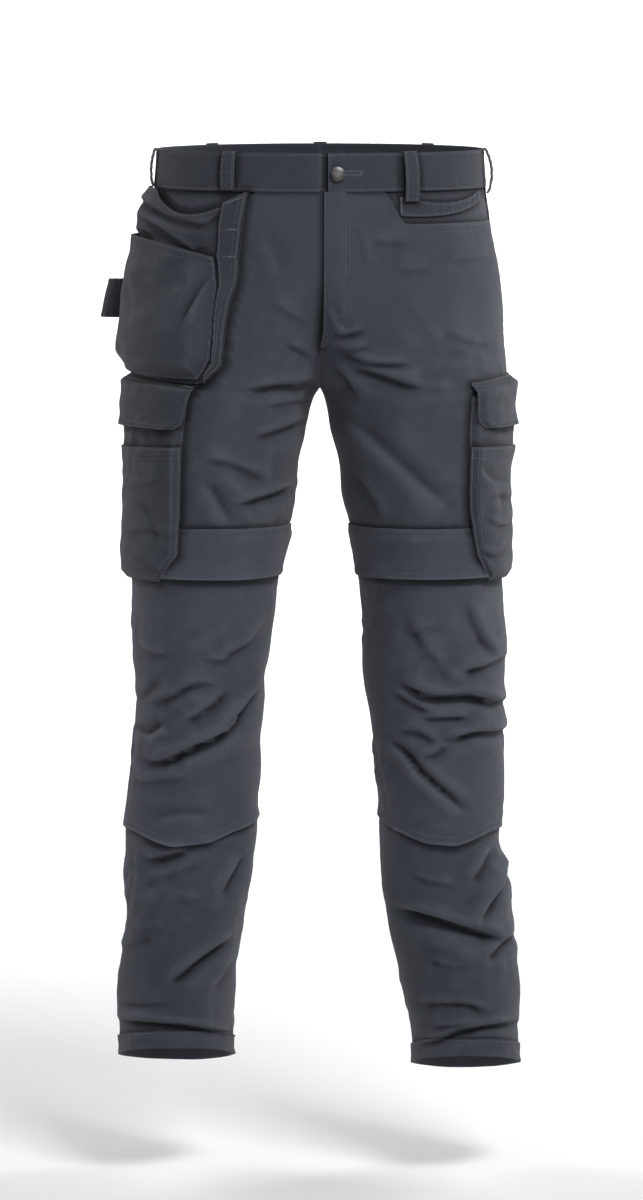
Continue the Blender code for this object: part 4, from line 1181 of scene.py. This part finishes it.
# %% Rows of the hanging tool pocket
# Columns: height and angle of the front edge, height and angle of the back edge, drop of the middle.
HOLSTER_BACK = (
    (-0.0212, 65.0, -0.0212, -9.0, 0.026),
    (-0.0450, 64.0, -0.0450, -9.0, 0.017),
    (-0.0700, 63.5, -0.0620, -9.0, 0.007),
    (-0.0950, 63.5, -0.0800, -9.0, 0.000),
    (-0.1300, 68.5, -0.1150, -10.0, 0.000),
    (-0.1640, 75.0, -0.1500, -10.0, 0.000),
    (-0.1900, 79.5, -0.1800, -10.0, 0.000),
    (-0.2120, 83.0, -0.2050, -10.0, 0.000),
    (-0.2310, 77.0, -0.2170, -9.0, 0.003),
)
HOLSTER_FRONT = (
    (-0.0930, 54.0, -0.0720, -9.0, -0.005),
    (-0.1150, 58.0, -0.0950, -9.5, -0.002),
    (-0.1450, 65.0, -0.1250, -10.0, 0.000),
    (-0.1780, 71.5, -0.1600, -10.0, 0.000),
    (-0.2050, 75.5, -0.1900, -10.0, 0.000),
    (-0.2180, 74.0, -0.2060, -9.5, 0.002),
    (-0.2270, 72.5, -0.2140, -9.0, 0.003),
)
HOLSTER_STRIP = (
    (-0.0215, 64.5, -0.0330, 56.0, 0.000),
    (-0.0550, 63.0, -0.0550, 55.0, 0.000),
    (-0.0930, 63.0, -0.0930, 55.5, 0.000),
    (-0.1300, 68.0, -0.1300, 62.5, 0.000),
    (-0.1640, 74.5, -0.1640, 69.5, 0.000),
    (-0.1900, 79.0, -0.1900, 74.5, 0.000),
    (-0.2110, 82.0, -0.2090, 77.0, 0.000),
    (-0.2300, 76.0, -0.2240, 75.0, 0.000),
)
print("hanging tool pocket:", sum(map(len, (HOLSTER_BACK, HOLSTER_FRONT, HOLSTER_STRIP))), "rows")

# %% Rows of the thigh pockets
CARGO = {
    "right": (
        (-0.246, 68.0, -0.246, -38.0, 0.000),
        (-0.258, 68.0, -0.252, -38.0, 0.000),
        (-0.275, 68.0, -0.272, -38.0, 0.000),
        (-0.302, 68.0, -0.302, -38.0, 0.000),
        (-0.335, 68.0, -0.335, -38.0, 0.000),
        (-0.365, 68.0, -0.365, -38.0, 0.000),
        (-0.392, 69.0, -0.392, -38.0, 0.000),
        (-0.416, 70.0, -0.416, -38.0, 0.000),
        (-0.434, 62.0, -0.434, -38.0, 0.000),
        (-0.445, 57.0, -0.444, -36.0, 0.000),
    ),
    "left": (
        (-0.246, 54.0, -0.246, -50.0, 0.000),
        (-0.258, 54.0, -0.252, -50.0, 0.000),
        (-0.274, 54.0, -0.272, -50.0, 0.000),
        (-0.302, 55.0, -0.302, -50.0, 0.000),
        (-0.335, 56.0, -0.335, -50.0, 0.000),
        (-0.365, 57.0, -0.365, -50.0, 0.000),
        (-0.392, 57.0, -0.392, -50.0, 0.000),
        (-0.416, 55.0, -0.416, -50.0, 0.000),
        (-0.434, 49.0, -0.434, -50.0, 0.000),
        (-0.445, 44.0, -0.444, -48.0, 0.000),
    ),
}
CARGO_TOOL = {
    "right": ((-0.300, 68.0, -0.304, -38.0, 0.000),) + CARGO["right"][4:],
    "left": ((-0.300, 55.0, -0.304, -50.0, 0.000),) + CARGO["left"][4:],
}
FLAP = {
    "right": (
        (-0.231, 71.5, -0.221, -41.0, -0.003),
        (-0.240, 71.0, -0.230, -41.0, -0.003),
        (-0.258, 70.0, -0.252, -41.0, -0.001),
        (-0.275, 69.0, -0.272, -40.0, 0.000),
        (-0.281, 64.0, -0.276, -37.0, 0.000),
    ),
    "left": (
        (-0.232, 53.0, -0.222, -53.0, -0.003),
        (-0.241, 53.0, -0.231, -53.0, -0.003),
        (-0.258, 52.0, -0.252, -53.0, -0.001),
        (-0.274, 51.0, -0.272, -52.0, 0.000),
        (-0.280, 46.0, -0.276, -49.0, 0.000),
    ),
}
print("thigh pocket rows:", {half: len(CARGO[half]) + len(FLAP[half]) for half in CARGO})

# %% Creases of the pouches
# Columns as for the front creases. These belong to the pouches alone.
HOLSTER_CREASES = (
    (0.0034, 0.0036, 1, (140, 188), (157, 208), (174, 219), (196, 225), (222, 228)),
    (0.0040, 0.0038, 1, (150, 216), (170, 236), (200, 258)),
    (0.0024, 0.0036, 1, (196, 232), (214, 222), (230, 208)),
    (0.0060, 0.0044, -1, (224, 256), (213, 276), (201, 301), (188, 334)),
    (0.0022, 0.0036, -1, (222, 262), (221, 288), (222, 318)),
    (0.0018, 0.0060, 1, (140, 260), (146, 300), (142, 340)),
)
CARGO_CREASES = (
    (0.0024, 0.0040, 1, (466, 546), (484, 556), (500, 538)),
    (0.0020, 0.0036, 1, (474, 516), (488, 526), (502, 520)),
    (0.0020, 0.0042, -1, (470, 462), (484, 478), (501, 478)),
    (0.0016, 0.0040, 1, (474, 502), (488, 495), (502, 500)),
    (0.0014, 0.0050, 1, (130, 476), (150, 484), (176, 478)),
    (0.0014, 0.0050, 1, (132, 536), (154, 530), (178, 540)),
    (0.0010, 0.0045, -1, (150, 500), (160, 524), (164, 552)),
)


def folds_of(table):
    """A displacement from creases that belong to one kind of pouch."""
    lines = [(row[:3], curve_through([seen(*point) for point in row[3:]])) for row in table]

    def lift(half, angle, height):
        place = ring_point(half, angle, height)
        x, total = (place[..., 0] * SIGN[half]).ravel(), np.zeros(angle.size)
        for (deep, wide, side), line in lines:
            if (line[0, 0] > 0) == (half == "left"):
                total += trough(line, deep, wide, side, x, height.ravel())
        return total.reshape(angle.shape)
    return lift


holster_folds = folds_of(HOLSTER_CREASES)
cargo_folds = folds_of(CARGO_CREASES)
print("pouch creases:", len(HOLSTER_CREASES) + len(CARGO_CREASES))


# %% Pouch maker
def sections(table, share, down, reach=0.86):
    """A patch's angles and heights: share runs from its front edge to its back edge, down through its rows.

    A drop of the middle ends at this reach of the way to the back edge.
    """
    rows = np.array(table)
    place = down * (len(rows) - 1)
    fine = np.stack([np.interp(place, range(len(rows)), rows[:, k]) for k in range(5)], axis=-1)
    fine = np.broadcast_to(fine, np.broadcast_shapes(share.shape, down.shape) + (5,))
    dip = np.minimum(share / reach, 1.0)
    height = fine[..., 0] + share * (fine[..., 2] - fine[..., 0]) - fine[..., 4] * 4 * dip * (1 - dip)
    angle = fine[..., 1] + share * (fine[..., 3] - fine[..., 1])
    return angle, height


def edge_gaps(angle, height):
    """Distances from a patch's front edge, back edge and bottom."""
    front = np.radians(np.abs(angle - angle[:, :1])) * LEG_RADIUS
    back = np.radians(np.abs(angle - angle[:, -1:])) * LEG_RADIUS
    return front, back, height - height[-1:]


def edge_gap(angle, height):
    front, back, below = edge_gaps(angle, height)
    return np.minimum(np.minimum(front, back), below)


def edge_share(angle, height, bevel):
    """0 on a patch's sides and bottom, rising to 1 at the bevel's width inside them."""
    return smooth(edge_gap(angle, height) / bevel)


def pouch_piece(name, half, table, share, down, lift, reach=0.86, **more):
    """A pouch's piece: its place comes from its rows, and its lift is added to the leg's own creases."""
    angle, height = sections(table, share, down, reach)
    cloth(name, half, angle, height, lambda a, h: relief(half, a, h) + lift(a, h), POCKET_CANVAS,
          "pocket_canvas", **more)


print("pouch maker ready")

# %% [markdown]
# ## Thigh pockets
#
# Each thigh has a pouch with side walls, a tool pocket over its lower part and a flap over its mouth. The
# pouch sags and puckers a little, more on the wearer's left. The flap is a separate piece on the real pants,
# sewn above the mouth and bent down over it.

# %% Thigh pockets
# The gap between a pouch's layers, and how far its face, its floor and its bevel go.
STACK_GAP = 0.0006
CARGO_RISE, CARGO_FLOOR, CARGO_BEVEL = 0.0088, 0.0044, 0.007
LOW_FLOOR_HEIGHT = -0.372
FLAP_START, FLAP_FLARE, FLAP_FLARE_HEIGHT = 0.0095, 0.0022, 0.020


def sag(half, angle, height, seed):
    """Loose cloth between a pouch's sewn sides."""
    place = ring_point(half, angle, height)
    place = place.reshape(-1, 3) * (SIGN[half], 1.0, 1.0)
    return swell(wave_set(seed, 16, 0.022, 0.070, 0.0006), place).reshape(angle.shape)


def cargo_lift(half, angle, height, over):
    share = edge_share(angle, height, CARGO_BEVEL)
    floor = PATCH_GAP + (CARGO_FLOOR - PATCH_GAP) * smooth((LOW_FLOOR_HEIGHT - height) / 0.014)
    rise = floor + (CARGO_RISE - floor) * share
    hem = roll(height[:1] - height, 0.0007, 0.006) if over else 0.0
    loose = np.abs(sag(half, angle, height, 21)) + cargo_folds(half, angle, height)
    return rise + over + CLOTH + share * loose + roll(edge_gap(angle, height), 0.0006, 0.002) + hem


def flap_lift(half, angle, height):
    front, back, below = edge_gaps(angle, height)
    rise = CARGO_RISE + CLOTH + 2 * STACK_GAP + 0.0004
    start = smooth((height[:1] - height) / FLAP_START)
    flare = FLAP_FLARE * smooth((FLAP_FLARE_HEIGHT - below) / FLAP_FLARE_HEIGHT)
    hug = 0.62 + 0.38 * smooth(np.minimum(front, back) / 0.010)
    edge = roll(edge_gap(angle, height), 0.0007, 0.0035)
    full = rise * hug + flare + edge + 0.5 * np.abs(sag(half, angle, height, 33))
    return PATCH_GAP + (full - PATCH_GAP) * start + CLOTH


def make_cargo():
    share = crowded(76, 0.8)[None, :]
    for half in ("right", "left"):
        legs = [f"front_{half}_cloth", f"back_{half}_cloth"]
        pouch_piece(
            f"cargo_body_{half}", half, CARGO[half], share, np.linspace(0.0, 1.0, 72)[:, None],
            lambda a, h: cargo_lift(half, a, h, 0.0), rests_on=legs,
            seams=sewn((0.0014,), "left", last=0.36) + sewn((0.0014,), "right"))
        pouch_piece(
            f"cargo_tool_{half}", half, CARGO_TOOL[half], share, crowded(82, 0.4)[:, None],
            lambda a, h: cargo_lift(half, a, h, CLOTH + STACK_GAP), rests_on=[f"cargo_body_{half}_cloth"],
            seams=(sewn((0.0014, 0.0085), "left", "right") + sewn((0.0020, 0.0120), "top")
                   + sewn((0.0014,), "bottom")))
        pouch_piece(
            f"cargo_flap_{half}", half, FLAP[half], share, crowded(40, 0.5)[:, None],
            lambda a, h: flap_lift(half, a, h), rests_on=legs,
            seams=(sewn((0.0022,), "left", "right") + sewn((0.0020, 0.0070), "top")
                   + sewn((0.0022, 0.0080), "bottom")))


make_cargo()
print("thigh pocket pieces:", sum("cargo" in name for name in GRIDS))

# %% [markdown]
# ## Hanging tool pocket
#
# The tool pocket hangs from the waistband on the wearer's right hip. A back layer carries a full front
# layer, and a strip runs down the front edge. It is loose, so it flares at the side and folds down its face.

# %% Hanging tool pocket
HOLSTER_HANG, HOLSTER_PUFF, HOLSTER_BEVEL = 0.0050, 0.0110, 0.018
HOLSTER_FLARE, HOLSTER_FLARE_HEIGHT = 0.0080, -0.046
# How far the back layer leans out beside the front layer's mouth, at these heights.
LEAN_HEIGHTS = (-0.088, -0.078, -0.068, -0.055, -0.046, -0.034, -0.022)
LEAN = (0.0, 0.0030, 0.0085, 0.0052, 0.0030, 0.0035, 0.0012)


def hang(angle, height):
    flare = np.exp(-(((height - HOLSTER_FLARE_HEIGHT) / 0.022) ** 2)) * smooth((30 - angle) / 30)
    return PATCH_GAP + HOLSTER_HANG * smooth((-0.050 - height) / 0.150) + HOLSTER_FLARE * flare


def holster_front_lift(angle, height):
    share = edge_share(angle, height, HOLSTER_BEVEL)
    folds = holster_folds("right", angle, height) * smooth((height[:1] - height - 0.003) / 0.014)
    puff = HOLSTER_PUFF * share + share * (0.9 * sag("right", angle, height, 41) + folds)
    hem = roll(height[:1] - height, 0.0009, 0.010)
    return hang(angle, height) + 2 * CLOTH + PATCH_GAP + np.maximum(puff, 0.0) + hem


def lean(angle, height):
    """The back layer leans out with the front one's mouth, so its side runs on into the mouth's corner."""
    return np.interp(height, LEAN_HEIGHTS, LEAN) * smooth((angle + 9.5) / 8.0) * smooth((34.0 - angle) / 30.0)


def holster_back_lift(angle, height):
    upper = smooth((height + 0.100) / 0.020)
    fold = np.maximum(holster_folds("right", angle, height), -0.0008 - (hang(angle, height) - PATCH_GAP))
    hem = roll(height[:1] - height, 0.0004, 0.004)
    return hang(angle, height) + CLOTH + hem + upper * fold + lean(angle, height)


def strip_lift(angle, height):
    front, back = edge_gaps(angle, height)[:2]
    return hang(angle, height) + 2 * CLOTH + LAYER_GAP + roll(np.minimum(front, back), 0.0005, 0.002)


def make_holster():
    share = crowded(84, 0.6)[None, :]
    pouch_piece(
        "holster_back", "right", HOLSTER_BACK, share, np.linspace(0.0, 1.0, 100)[:, None],
        holster_back_lift, reach=0.66, held="hung", rests_on=["waistband_right_cloth"],
        seams=(sewn((0.0022, 0.0080), "top") + sewn((0.0022,), "right") + sewn((0.0020,), "left")
               + sewn((0.0022,), "bottom")))
    pouch_piece(
        "holster_front", "right", HOLSTER_FRONT, share, np.linspace(0.0, 1.0, 90)[:, None],
        holster_front_lift, held="hung", rests_on=["holster_back_cloth"],
        seams=sewn((0.0024, 0.0100), "top") + sewn((0.0018,), "left", "right") + sewn((0.0020,), "bottom"))
    pouch_piece(
        "holster_strip", "right", HOLSTER_STRIP, np.linspace(0.0, 1.0, 14)[None, :],
        np.linspace(0.0, 1.0, 110)[:, None], strip_lift, held="hung", rests_on=["holster_back_cloth"],
        seams=sewn((0.0018, 0.0068), "left") + sewn((0.0018,), "right"))


make_holster()
print("tool pocket pieces:", sum("holster" in name for name in GRIDS))

# %% [markdown]
# ## Belt loops and hammer loop
#
# A belt loop is a narrow strip sewn down at both ends, standing off the band between them. The hammer loop
# is a stiffer band of webbing bent out from the side seam. Flat straps are best made directly, from a
# profile, because a simulation would lose their edges.

# %% Belt loops
# Columns: half, angle or None for the back seam, how far it stands off, height of its lower end.
BELT_LOOPS = (
    ("right", 57.0, 0.0030, -0.0200),
    ("left", 57.5, 0.0055, -0.0320),
    ("right", 6.0, 0.0040, -0.0200),
    ("left", 6.0, 0.0070, -0.0280),
    ("right", -48.0, 0.0030, -0.0300),
    ("left", -48.0, 0.0030, -0.0300),
    ("left", None, 0.0030, -0.0300),
)
LOOP_WIDTH, LOOP_TOP, SEAM_GAP = 0.014, 0.022, 0.0003
WAIST_RADIUS, BACK_WAIST_RADIUS = 0.15, 0.17


def loop_grid(middle, stand, bottom):
    """Angles, heights and lifts of a belt loop's points."""
    down = np.linspace(0.0, 1.0, 36)[:, None]
    height = LOOP_TOP + down * (bottom - LOOP_TOP)
    base = BAND_CLOTH - CLOTH + SEAM_GAP + CLOTH + 0.0003
    lift = base + stand * np.sin(math.pi * down) ** 0.7
    centre = angle_of("left", 0.0, height, -1) if middle is None else np.full(height.shape, middle)
    reach = math.degrees(LOOP_WIDTH / 2 / (BACK_WAIST_RADIUS if middle is None else WAIST_RADIUS))
    across = np.linspace(1.0, -1.0, 9)[None, :]
    angle, height, lift = np.broadcast_arrays(centre + reach * across, height, lift)
    return angle, height, lift - 0.0004 * np.abs(across) ** 6


def make_loops():
    for number, (half, middle, stand, bottom) in enumerate(BELT_LOOPS, start=1):
        angle, height, lift = loop_grid(middle, stand, bottom)
        cloth(f"belt_loop_{number}", half, angle, height, lambda *_: lift, BAND_CANVAS, "waistband_canvas",
              rests_on=[f"waistband_{half}_cloth"], seams=sewn((0.0022,), "left", "right"))


make_loops()
print("belt loops:", len(BELT_LOOPS))

# %% Hammer loop
HAMMER_TOP, HAMMER_BOTTOM = -0.124, -0.165
HAMMER_REACH, HAMMER_SPREAD, HAMMER_CLOTH = 0.053, 0.35, 0.0020
HAMMER_ANGLES = (-15.0, -27.0)


def make_hammer_loop():
    turn = np.linspace(0.0, math.pi, 70)[None, :, None]
    height = np.linspace(HAMMER_TOP, HAMMER_BOTTOM, 16)[:, None]
    first, last = HAMMER_ANGLES
    start = shell("right", first, height, np.full(height.shape, LAYER_GAP + 0.0004))
    end = shell("right", last, height, np.full(height.shape, LAYER_GAP + 0.0004))
    middle = shell("right", (first + last) / 2, height, np.zeros(height.shape))
    out = shell("right", (first + last) / 2, height, np.ones(height.shape)) - middle
    out[..., 2] = 0.0
    path = (start + end) / 2 + (start - end) / 2 * np.cos(turn) * (1 + HAMMER_SPREAD * np.sin(turn))
    path = path + out * HAMMER_REACH * np.sin(turn) ** 0.8
    normal = np.cross(np.gradient(path, axis=1), (0.0, 0.0, 1.0))
    normal /= np.linalg.norm(normal, axis=-1, keepdims=True)
    points = path + normal * HAMMER_CLOTH / 2
    level = np.zeros(points.shape[:2])
    finish_cloth("hammer_loop", points, normal, wear_and_painted_shade(points, level), WEBBING, HAMMER_CLOTH,
                 False, sewn((0.0025,), "top", "bottom"))


make_hammer_loop()
print("loops:", sum("loop" in name for name in GRIDS))

# %% [markdown]
# ## Button
#
# The waist button is a metal shank button: a dished cap with a raised rim on a short post. It is turned on a
# lathe in spirit, so it starts as a cylinder whose top face is inset, pushed in and rounded.

# %% Waist button
BUTTON_X, BUTTON_LEVEL, BUTTON_RADIUS = 0.0187, -0.002, 0.0078
SHANK_RADIUS, SHANK_HEIGHT = 0.0043, 0.0018


def select_top(piece, level):
    bpy.ops.object.mode_set(mode="OBJECT")
    for face in piece.data.polygons:
        face.select = face.normal.z > 0.9 and abs(face.center.z - level) < 1e-5
    bpy.ops.object.mode_set(mode="EDIT")
    bpy.context.tool_settings.mesh_select_mode = (False, False, True)


def make_button():
    bpy.ops.object.select_all(action="DESELECT")
    bpy.ops.mesh.primitive_cylinder_add(vertices=48, radius=SHANK_RADIUS, depth=SHANK_HEIGHT,
                                        location=(0, 0, SHANK_HEIGHT / 2))
    piece = bpy.context.object
    piece.name = "button_metal"
    bpy.ops.object.transform_apply(location=True, rotation=True, scale=True)
    select_top(piece, SHANK_HEIGHT)
    bpy.ops.mesh.extrude_region_move(TRANSFORM_OT_translate={"value": (0, 0, 0.0)})
    bpy.ops.transform.resize(value=(BUTTON_RADIUS / SHANK_RADIUS,) * 2 + (1.0,))
    for rise, size in ((0.0005, 1.0), (0.0008, 0.975), (0.0005, 0.93)):
        bpy.ops.mesh.extrude_region_move(TRANSFORM_OT_translate={"value": (0, 0, rise)})
        bpy.ops.transform.resize(value=(size, size, 1.0))
    for width, rise in ((0.0009, 0.0), (0.0007, -0.0006), (0.0020, 0.0001), (0.0006, 0.0003)):
        bpy.ops.mesh.inset(thickness=width, depth=rise)
    bpy.ops.object.mode_set(mode="OBJECT")
    edge = piece.modifiers.new("edge", "BEVEL")
    edge.width, edge.segments, edge.limit_method = 0.00018, 2, "ANGLE"
    bpy.ops.object.modifier_apply(modifier="edge")
    bpy.ops.object.shade_smooth_by_angle(angle=math.radians(40))
    angle = angle_of("left", BUTTON_X, np.float64(BUTTON_LEVEL))
    face = BAND_CLOTH - CLOTH + 0.5 * relief("left", angle, BUTTON_LEVEL) + 0.0002
    base = shell("left", angle, BUTTON_LEVEL, face)
    normal = shell("left", angle, BUTTON_LEVEL, face + 0.01) - base
    turn = Vector(normal).to_track_quat("Z", "Y").to_matrix().to_4x4()
    piece.data.transform(Matrix.Translation(Vector(base)) @ turn)
    piece.data.materials.append(DARK_METAL)
    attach(piece, "root")
    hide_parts("button")
    print("button:", len(piece.data.polygons), "faces")


make_button()

# %% [markdown]
# ## Sewing
#
# Work pants show their thread: single rows along edges, double rows along the load-bearing seams, and bar
# tacks where a seam must not tear. Every stitch is a short four-sided tube that is thickest in its middle.
# One is modelled, and it is copied along rows that follow each piece's own edges at a fixed distance, half
# sunk in the cloth.

# %% Rows of stitches
PITCH, STITCH, THREAD_RADIUS = 0.0033, 0.0025, 0.00027


def row_along(points, normal, side, inset, first, last):
    """Points and normals along a side of a grid, at a distance inside it."""
    axis, far = SIDES[side]
    if axis == 0:
        points, normal = points.swapaxes(0, 1), normal.swapaxes(0, 1)
    across = arc_lengths(points, 1)
    wanted = across[:, -1] - inset if far else np.full(len(points), inset)
    count = len(points)
    low, high = int(round(first * (count - 1))), int(round(last * (count - 1)))
    made = np.empty((high - low + 1, 6))
    both = np.concatenate((points, normal), axis=-1)
    for k in range(low, high + 1):
        for c in range(6):
            made[k - low, c] = np.interp(wanted[k], across[k], both[k, :, c])
    return made[:, :3], made[:, 3:]


def stitch_frames(points, normal, pitch=PITCH):
    """Middle, direction and normal of each stitch along a row."""
    length = arc_lengths(points, 0)
    if length[-1] < 2 * pitch:
        return np.empty((0, 9))
    at = np.arange(pitch * 0.7, length[-1] - pitch * 0.5, pitch)

    def pick(values, place):
        return np.stack([np.interp(place, length, values[:, c]) for c in range(3)], axis=1)

    way = pick(points, at + pitch * 0.3) - pick(points, at - pitch * 0.3)
    return np.hstack((pick(points, at), way, pick(normal, at)))


def rows_of(names):
    made = []
    for name in names:
        points, normal, seams = GRIDS[name]
        for side, insets, first, last in seams:
            for inset in insets:
                row = row_along(points, normal, side, inset, first, last)
                made.append(stitch_frames(*row))
    return np.vstack(made)


print("stitches round the fly:", len(rows_of(["fly"])))


# %% One stitch, copied
def stitch_shape():
    """Corners and faces of one stitch along X, in stitch lengths and thread radii."""
    rings = ((-0.5, 0.45), (0.0, 1.15), (0.5, 0.45))
    corner = [(x, r * math.cos(math.pi * k / 2), r * math.sin(math.pi * k / 2))
              for x, r in rings for k in range(4)]
    faces = [(4 * i + k, 4 * i + (k + 1) % 4, 4 * i + 4 + (k + 1) % 4, 4 * i + 4 + k)
             for i in range(2) for k in range(4)]
    return np.array(corner), faces + [(3, 2, 1, 0), (8, 9, 10, 11)]


def make_stitches(name, frames):
    middle, way, normal = frames[:, :3], frames[:, 3:6], frames[:, 6:]
    way = way / np.linalg.norm(way, axis=1, keepdims=True)
    side = np.cross(normal, way)
    side /= np.linalg.norm(side, axis=1, keepdims=True)
    up = np.cross(way, side)
    shape, sides = stitch_shape()
    along, aside, above = (shape[None, :, k:k + 1] for k in range(3))
    place = (middle + up * THREAD_RADIUS * 0.25)[:, None, :] + along * STITCH * way[:, None, :]
    place = place + THREAD_RADIUS * (aside * side[:, None, :] + above * up[:, None, :])
    start = np.arange(len(frames))[:, None, None] * len(shape)
    faces = (np.array(sides)[None] + start).reshape(-1, 4).tolist()
    mesh = bpy.data.meshes.new(name)
    mesh.from_pydata(place.reshape(-1, 3).tolist(), [], faces)
    mesh.materials.append(THREAD)
    mesh.shade_smooth()
    tidy = bmesh.new()
    tidy.from_mesh(mesh)
    bmesh.ops.recalc_face_normals(tidy, faces=tidy.faces)
    tidy.to_mesh(mesh)
    tidy.free()
    made = bpy.data.objects.new(name, mesh)
    bpy.context.scene.collection.objects.link(made)
    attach(made, "root")
    print(name, len(frames), "stitches")


print("one stitch:", [len(part) for part in stitch_shape()], "corners and faces")


# %% Bar tacks
def place_on(name, down, across):
    """A point and normal of a piece, by distances from its top and left sides, or below 0 from the others."""
    points, normal = GRIDS[name][:2]
    lengths = arc_lengths(points, 0)[:, points.shape[1] // 2]
    row = np.interp(down if down >= 0 else lengths[-1] + down, lengths, range(len(lengths)))
    r = min(int(row), len(points) - 2)
    both = np.concatenate((points, normal), axis=-1)
    line = both[r] * (1 - (row - r)) + both[r + 1] * (row - r)
    lengths = arc_lengths(line[:, :3], 0)
    wanted = across if across >= 0 else lengths[-1] + across
    return np.array([np.interp(wanted, lengths, line[:, c]) for c in range(6)])


def bar_tack(name, start, end, pitch=0.0006):
    """Close stitches side by side across a line."""
    a, b = place_on(name, *start), place_on(name, *end)
    count = max(int(np.linalg.norm(b[:3] - a[:3]) / pitch), 3)
    share = np.linspace(0.0, 1.0, count)[:, None]
    both = a + share * (b - a)
    way = np.cross(both[:, 3:], b[:3] - a[:3])
    return np.hstack((both[:, :3], way, both[:, 3:]))


def waist_tacks():
    made = []
    for number in range(1, 8):
        for down in (0.0022, -0.0022):
            made.append(bar_tack(f"belt_loop_{number}", (down, 0.0024), (down, -0.0024)))
    for down in (0.0195, 0.0235):
        made.append(bar_tack("waistband_left", (down, -0.0350), (down, -0.0140), 0.0008))
    made.append(bar_tack("waistband_left", (0.0190, -0.0355), (0.0240, -0.0355)))
    return made


def pocket_tacks():
    made = [bar_tack("holster_strip", (down, 0.0020), (down, -0.0020)) for down in (0.0040, 0.0350, 0.0640)]
    for half in ("right", "left"):
        for side in (1, -1):
            made.append(bar_tack(f"cargo_tool_{half}", (0.0020, side * 0.0016), (0.0110, side * 0.0016)))
            made.append(bar_tack(f"cargo_flap_{half}", (0.0075, side * 0.0030), (0.0075, side * 0.0120)))
    for across in (0.0030, -0.0030):
        made.append(bar_tack("holster_front", (0.0030, across), (0.0120, across)))
    return made


def front_tacks():
    made = [bar_tack("fly", (-0.0040, 0.0030), (-0.0130, 0.0060)),
            bar_tack("fly", (-0.0430, -0.0030), (-0.0430, -0.0120))]
    for side in (0.0016, -0.0016):
        made.append(bar_tack("tucked_pocket_left", (0.0010, side), (0.0110, side)))
    for half in ("right", "left"):
        made.append(bar_tack(f"front_{half}", (0.0020, 0.0040), (0.0100, 0.0040)))
    return made


print("bar tacks:", len(waist_tacks() + pocket_tacks() + front_tacks()))

# %% Sew everything
POUCHES = [f"cargo_{word}_{half}" for word in ("body", "tool", "flap") for half in ("right", "left")]
HOLSTER = ["holster_back", "holster_front", "holster_strip"]
LEGS = ["back_right", "back_left", "hem_right", "hem_left"]
FRONTS = ["front_right", "front_left", "fly", "tucked_pocket_left", "knee_band_right", "knee_band_left",
          "knee_panel_right", "knee_panel_left"]
WAIST = ["waistband_right", "waistband_left", "hammer_loop"] + [f"belt_loop_{n}" for n in range(1, 8)]
make_stitches("leg_stitches", rows_of(LEGS))
make_stitches("front_stitches", np.vstack([rows_of(FRONTS)] + front_tacks()))
make_stitches("waist_stitches", np.vstack([rows_of(WAIST)] + waist_tacks()))
make_stitches("pocket_stitches", np.vstack([rows_of(POUCHES + HOLSTER)] + pocket_tacks()))

# %% [markdown]
# ## Shade beside the edges
#
# A painted shade darkens the cloth under and beside an edge that lies over it, where that edge's shadow
# falls. Each point of a piece looks for the nearest edge of every other piece. Where that edge stands above
# the cloth, the shade value grows, most of all close beside it, and a higher edge shades a wider strip. The
# fly only counts with its free edge, because its sewn one is sunk in the cloth.

# %% Shade under the edges
SHADE_REACH, SHADE_LIMIT, SHADE_LEAST_RISE = 0.0028, 0.0110, 0.00015


def rim_of(name):
    """A piece's edge points as a search tree, and the box in which they shade."""
    points = GRIDS[name][0]
    sides = (points[:, 0],) if name == "fly" else (points[0], points[-1], points[:, 0], points[:, -1])
    rim = np.concatenate(sides)
    tree = kdtree.KDTree(len(rim))
    for k, point in enumerate(rim):
        tree.insert(point, k)
    tree.balance()
    return tree, rim.min(axis=0) - SHADE_LIMIT, rim.max(axis=0) + SHADE_LIMIT


def shade_edges():
    rims = {name: rim_of(name) for name in GRIDS}
    for name, (points, normal, _) in GRIDS.items():
        flat, out = points.reshape(-1, 3), normal.reshape(-1, 3)
        found = np.zeros(len(flat))
        for other, (tree, low, high) in rims.items():
            if other == name:
                continue
            for k in np.nonzero(((flat > low) & (flat < high)).all(axis=1))[0]:
                place, _, gap = tree.find(flat[k])
                rise = float(np.dot(np.array(place) - flat[k], out[k]))
                if gap < SHADE_LIMIT and rise > SHADE_LEAST_RISE:
                    aside = math.sqrt(max(gap * gap - rise * rise, 0.0))
                    found[k] = max(found[k], math.exp(-((aside / (SHADE_REACH + rise)) ** 2)))
        mesh = bpy.data.objects[f"{name}_cloth"].data
        values = np.empty(len(mesh.vertices), np.float32)
        layer = mesh.attributes["shade"].data
        layer.foreach_get("value", values)
        values[:len(flat)] = np.maximum(values[:len(flat)], found)
        layer.foreach_set("value", values)


# Paints shade on the cloth under and beside every overlying edge.
shade_edges()
print("shade beside", len(GRIDS), "pieces' edges")
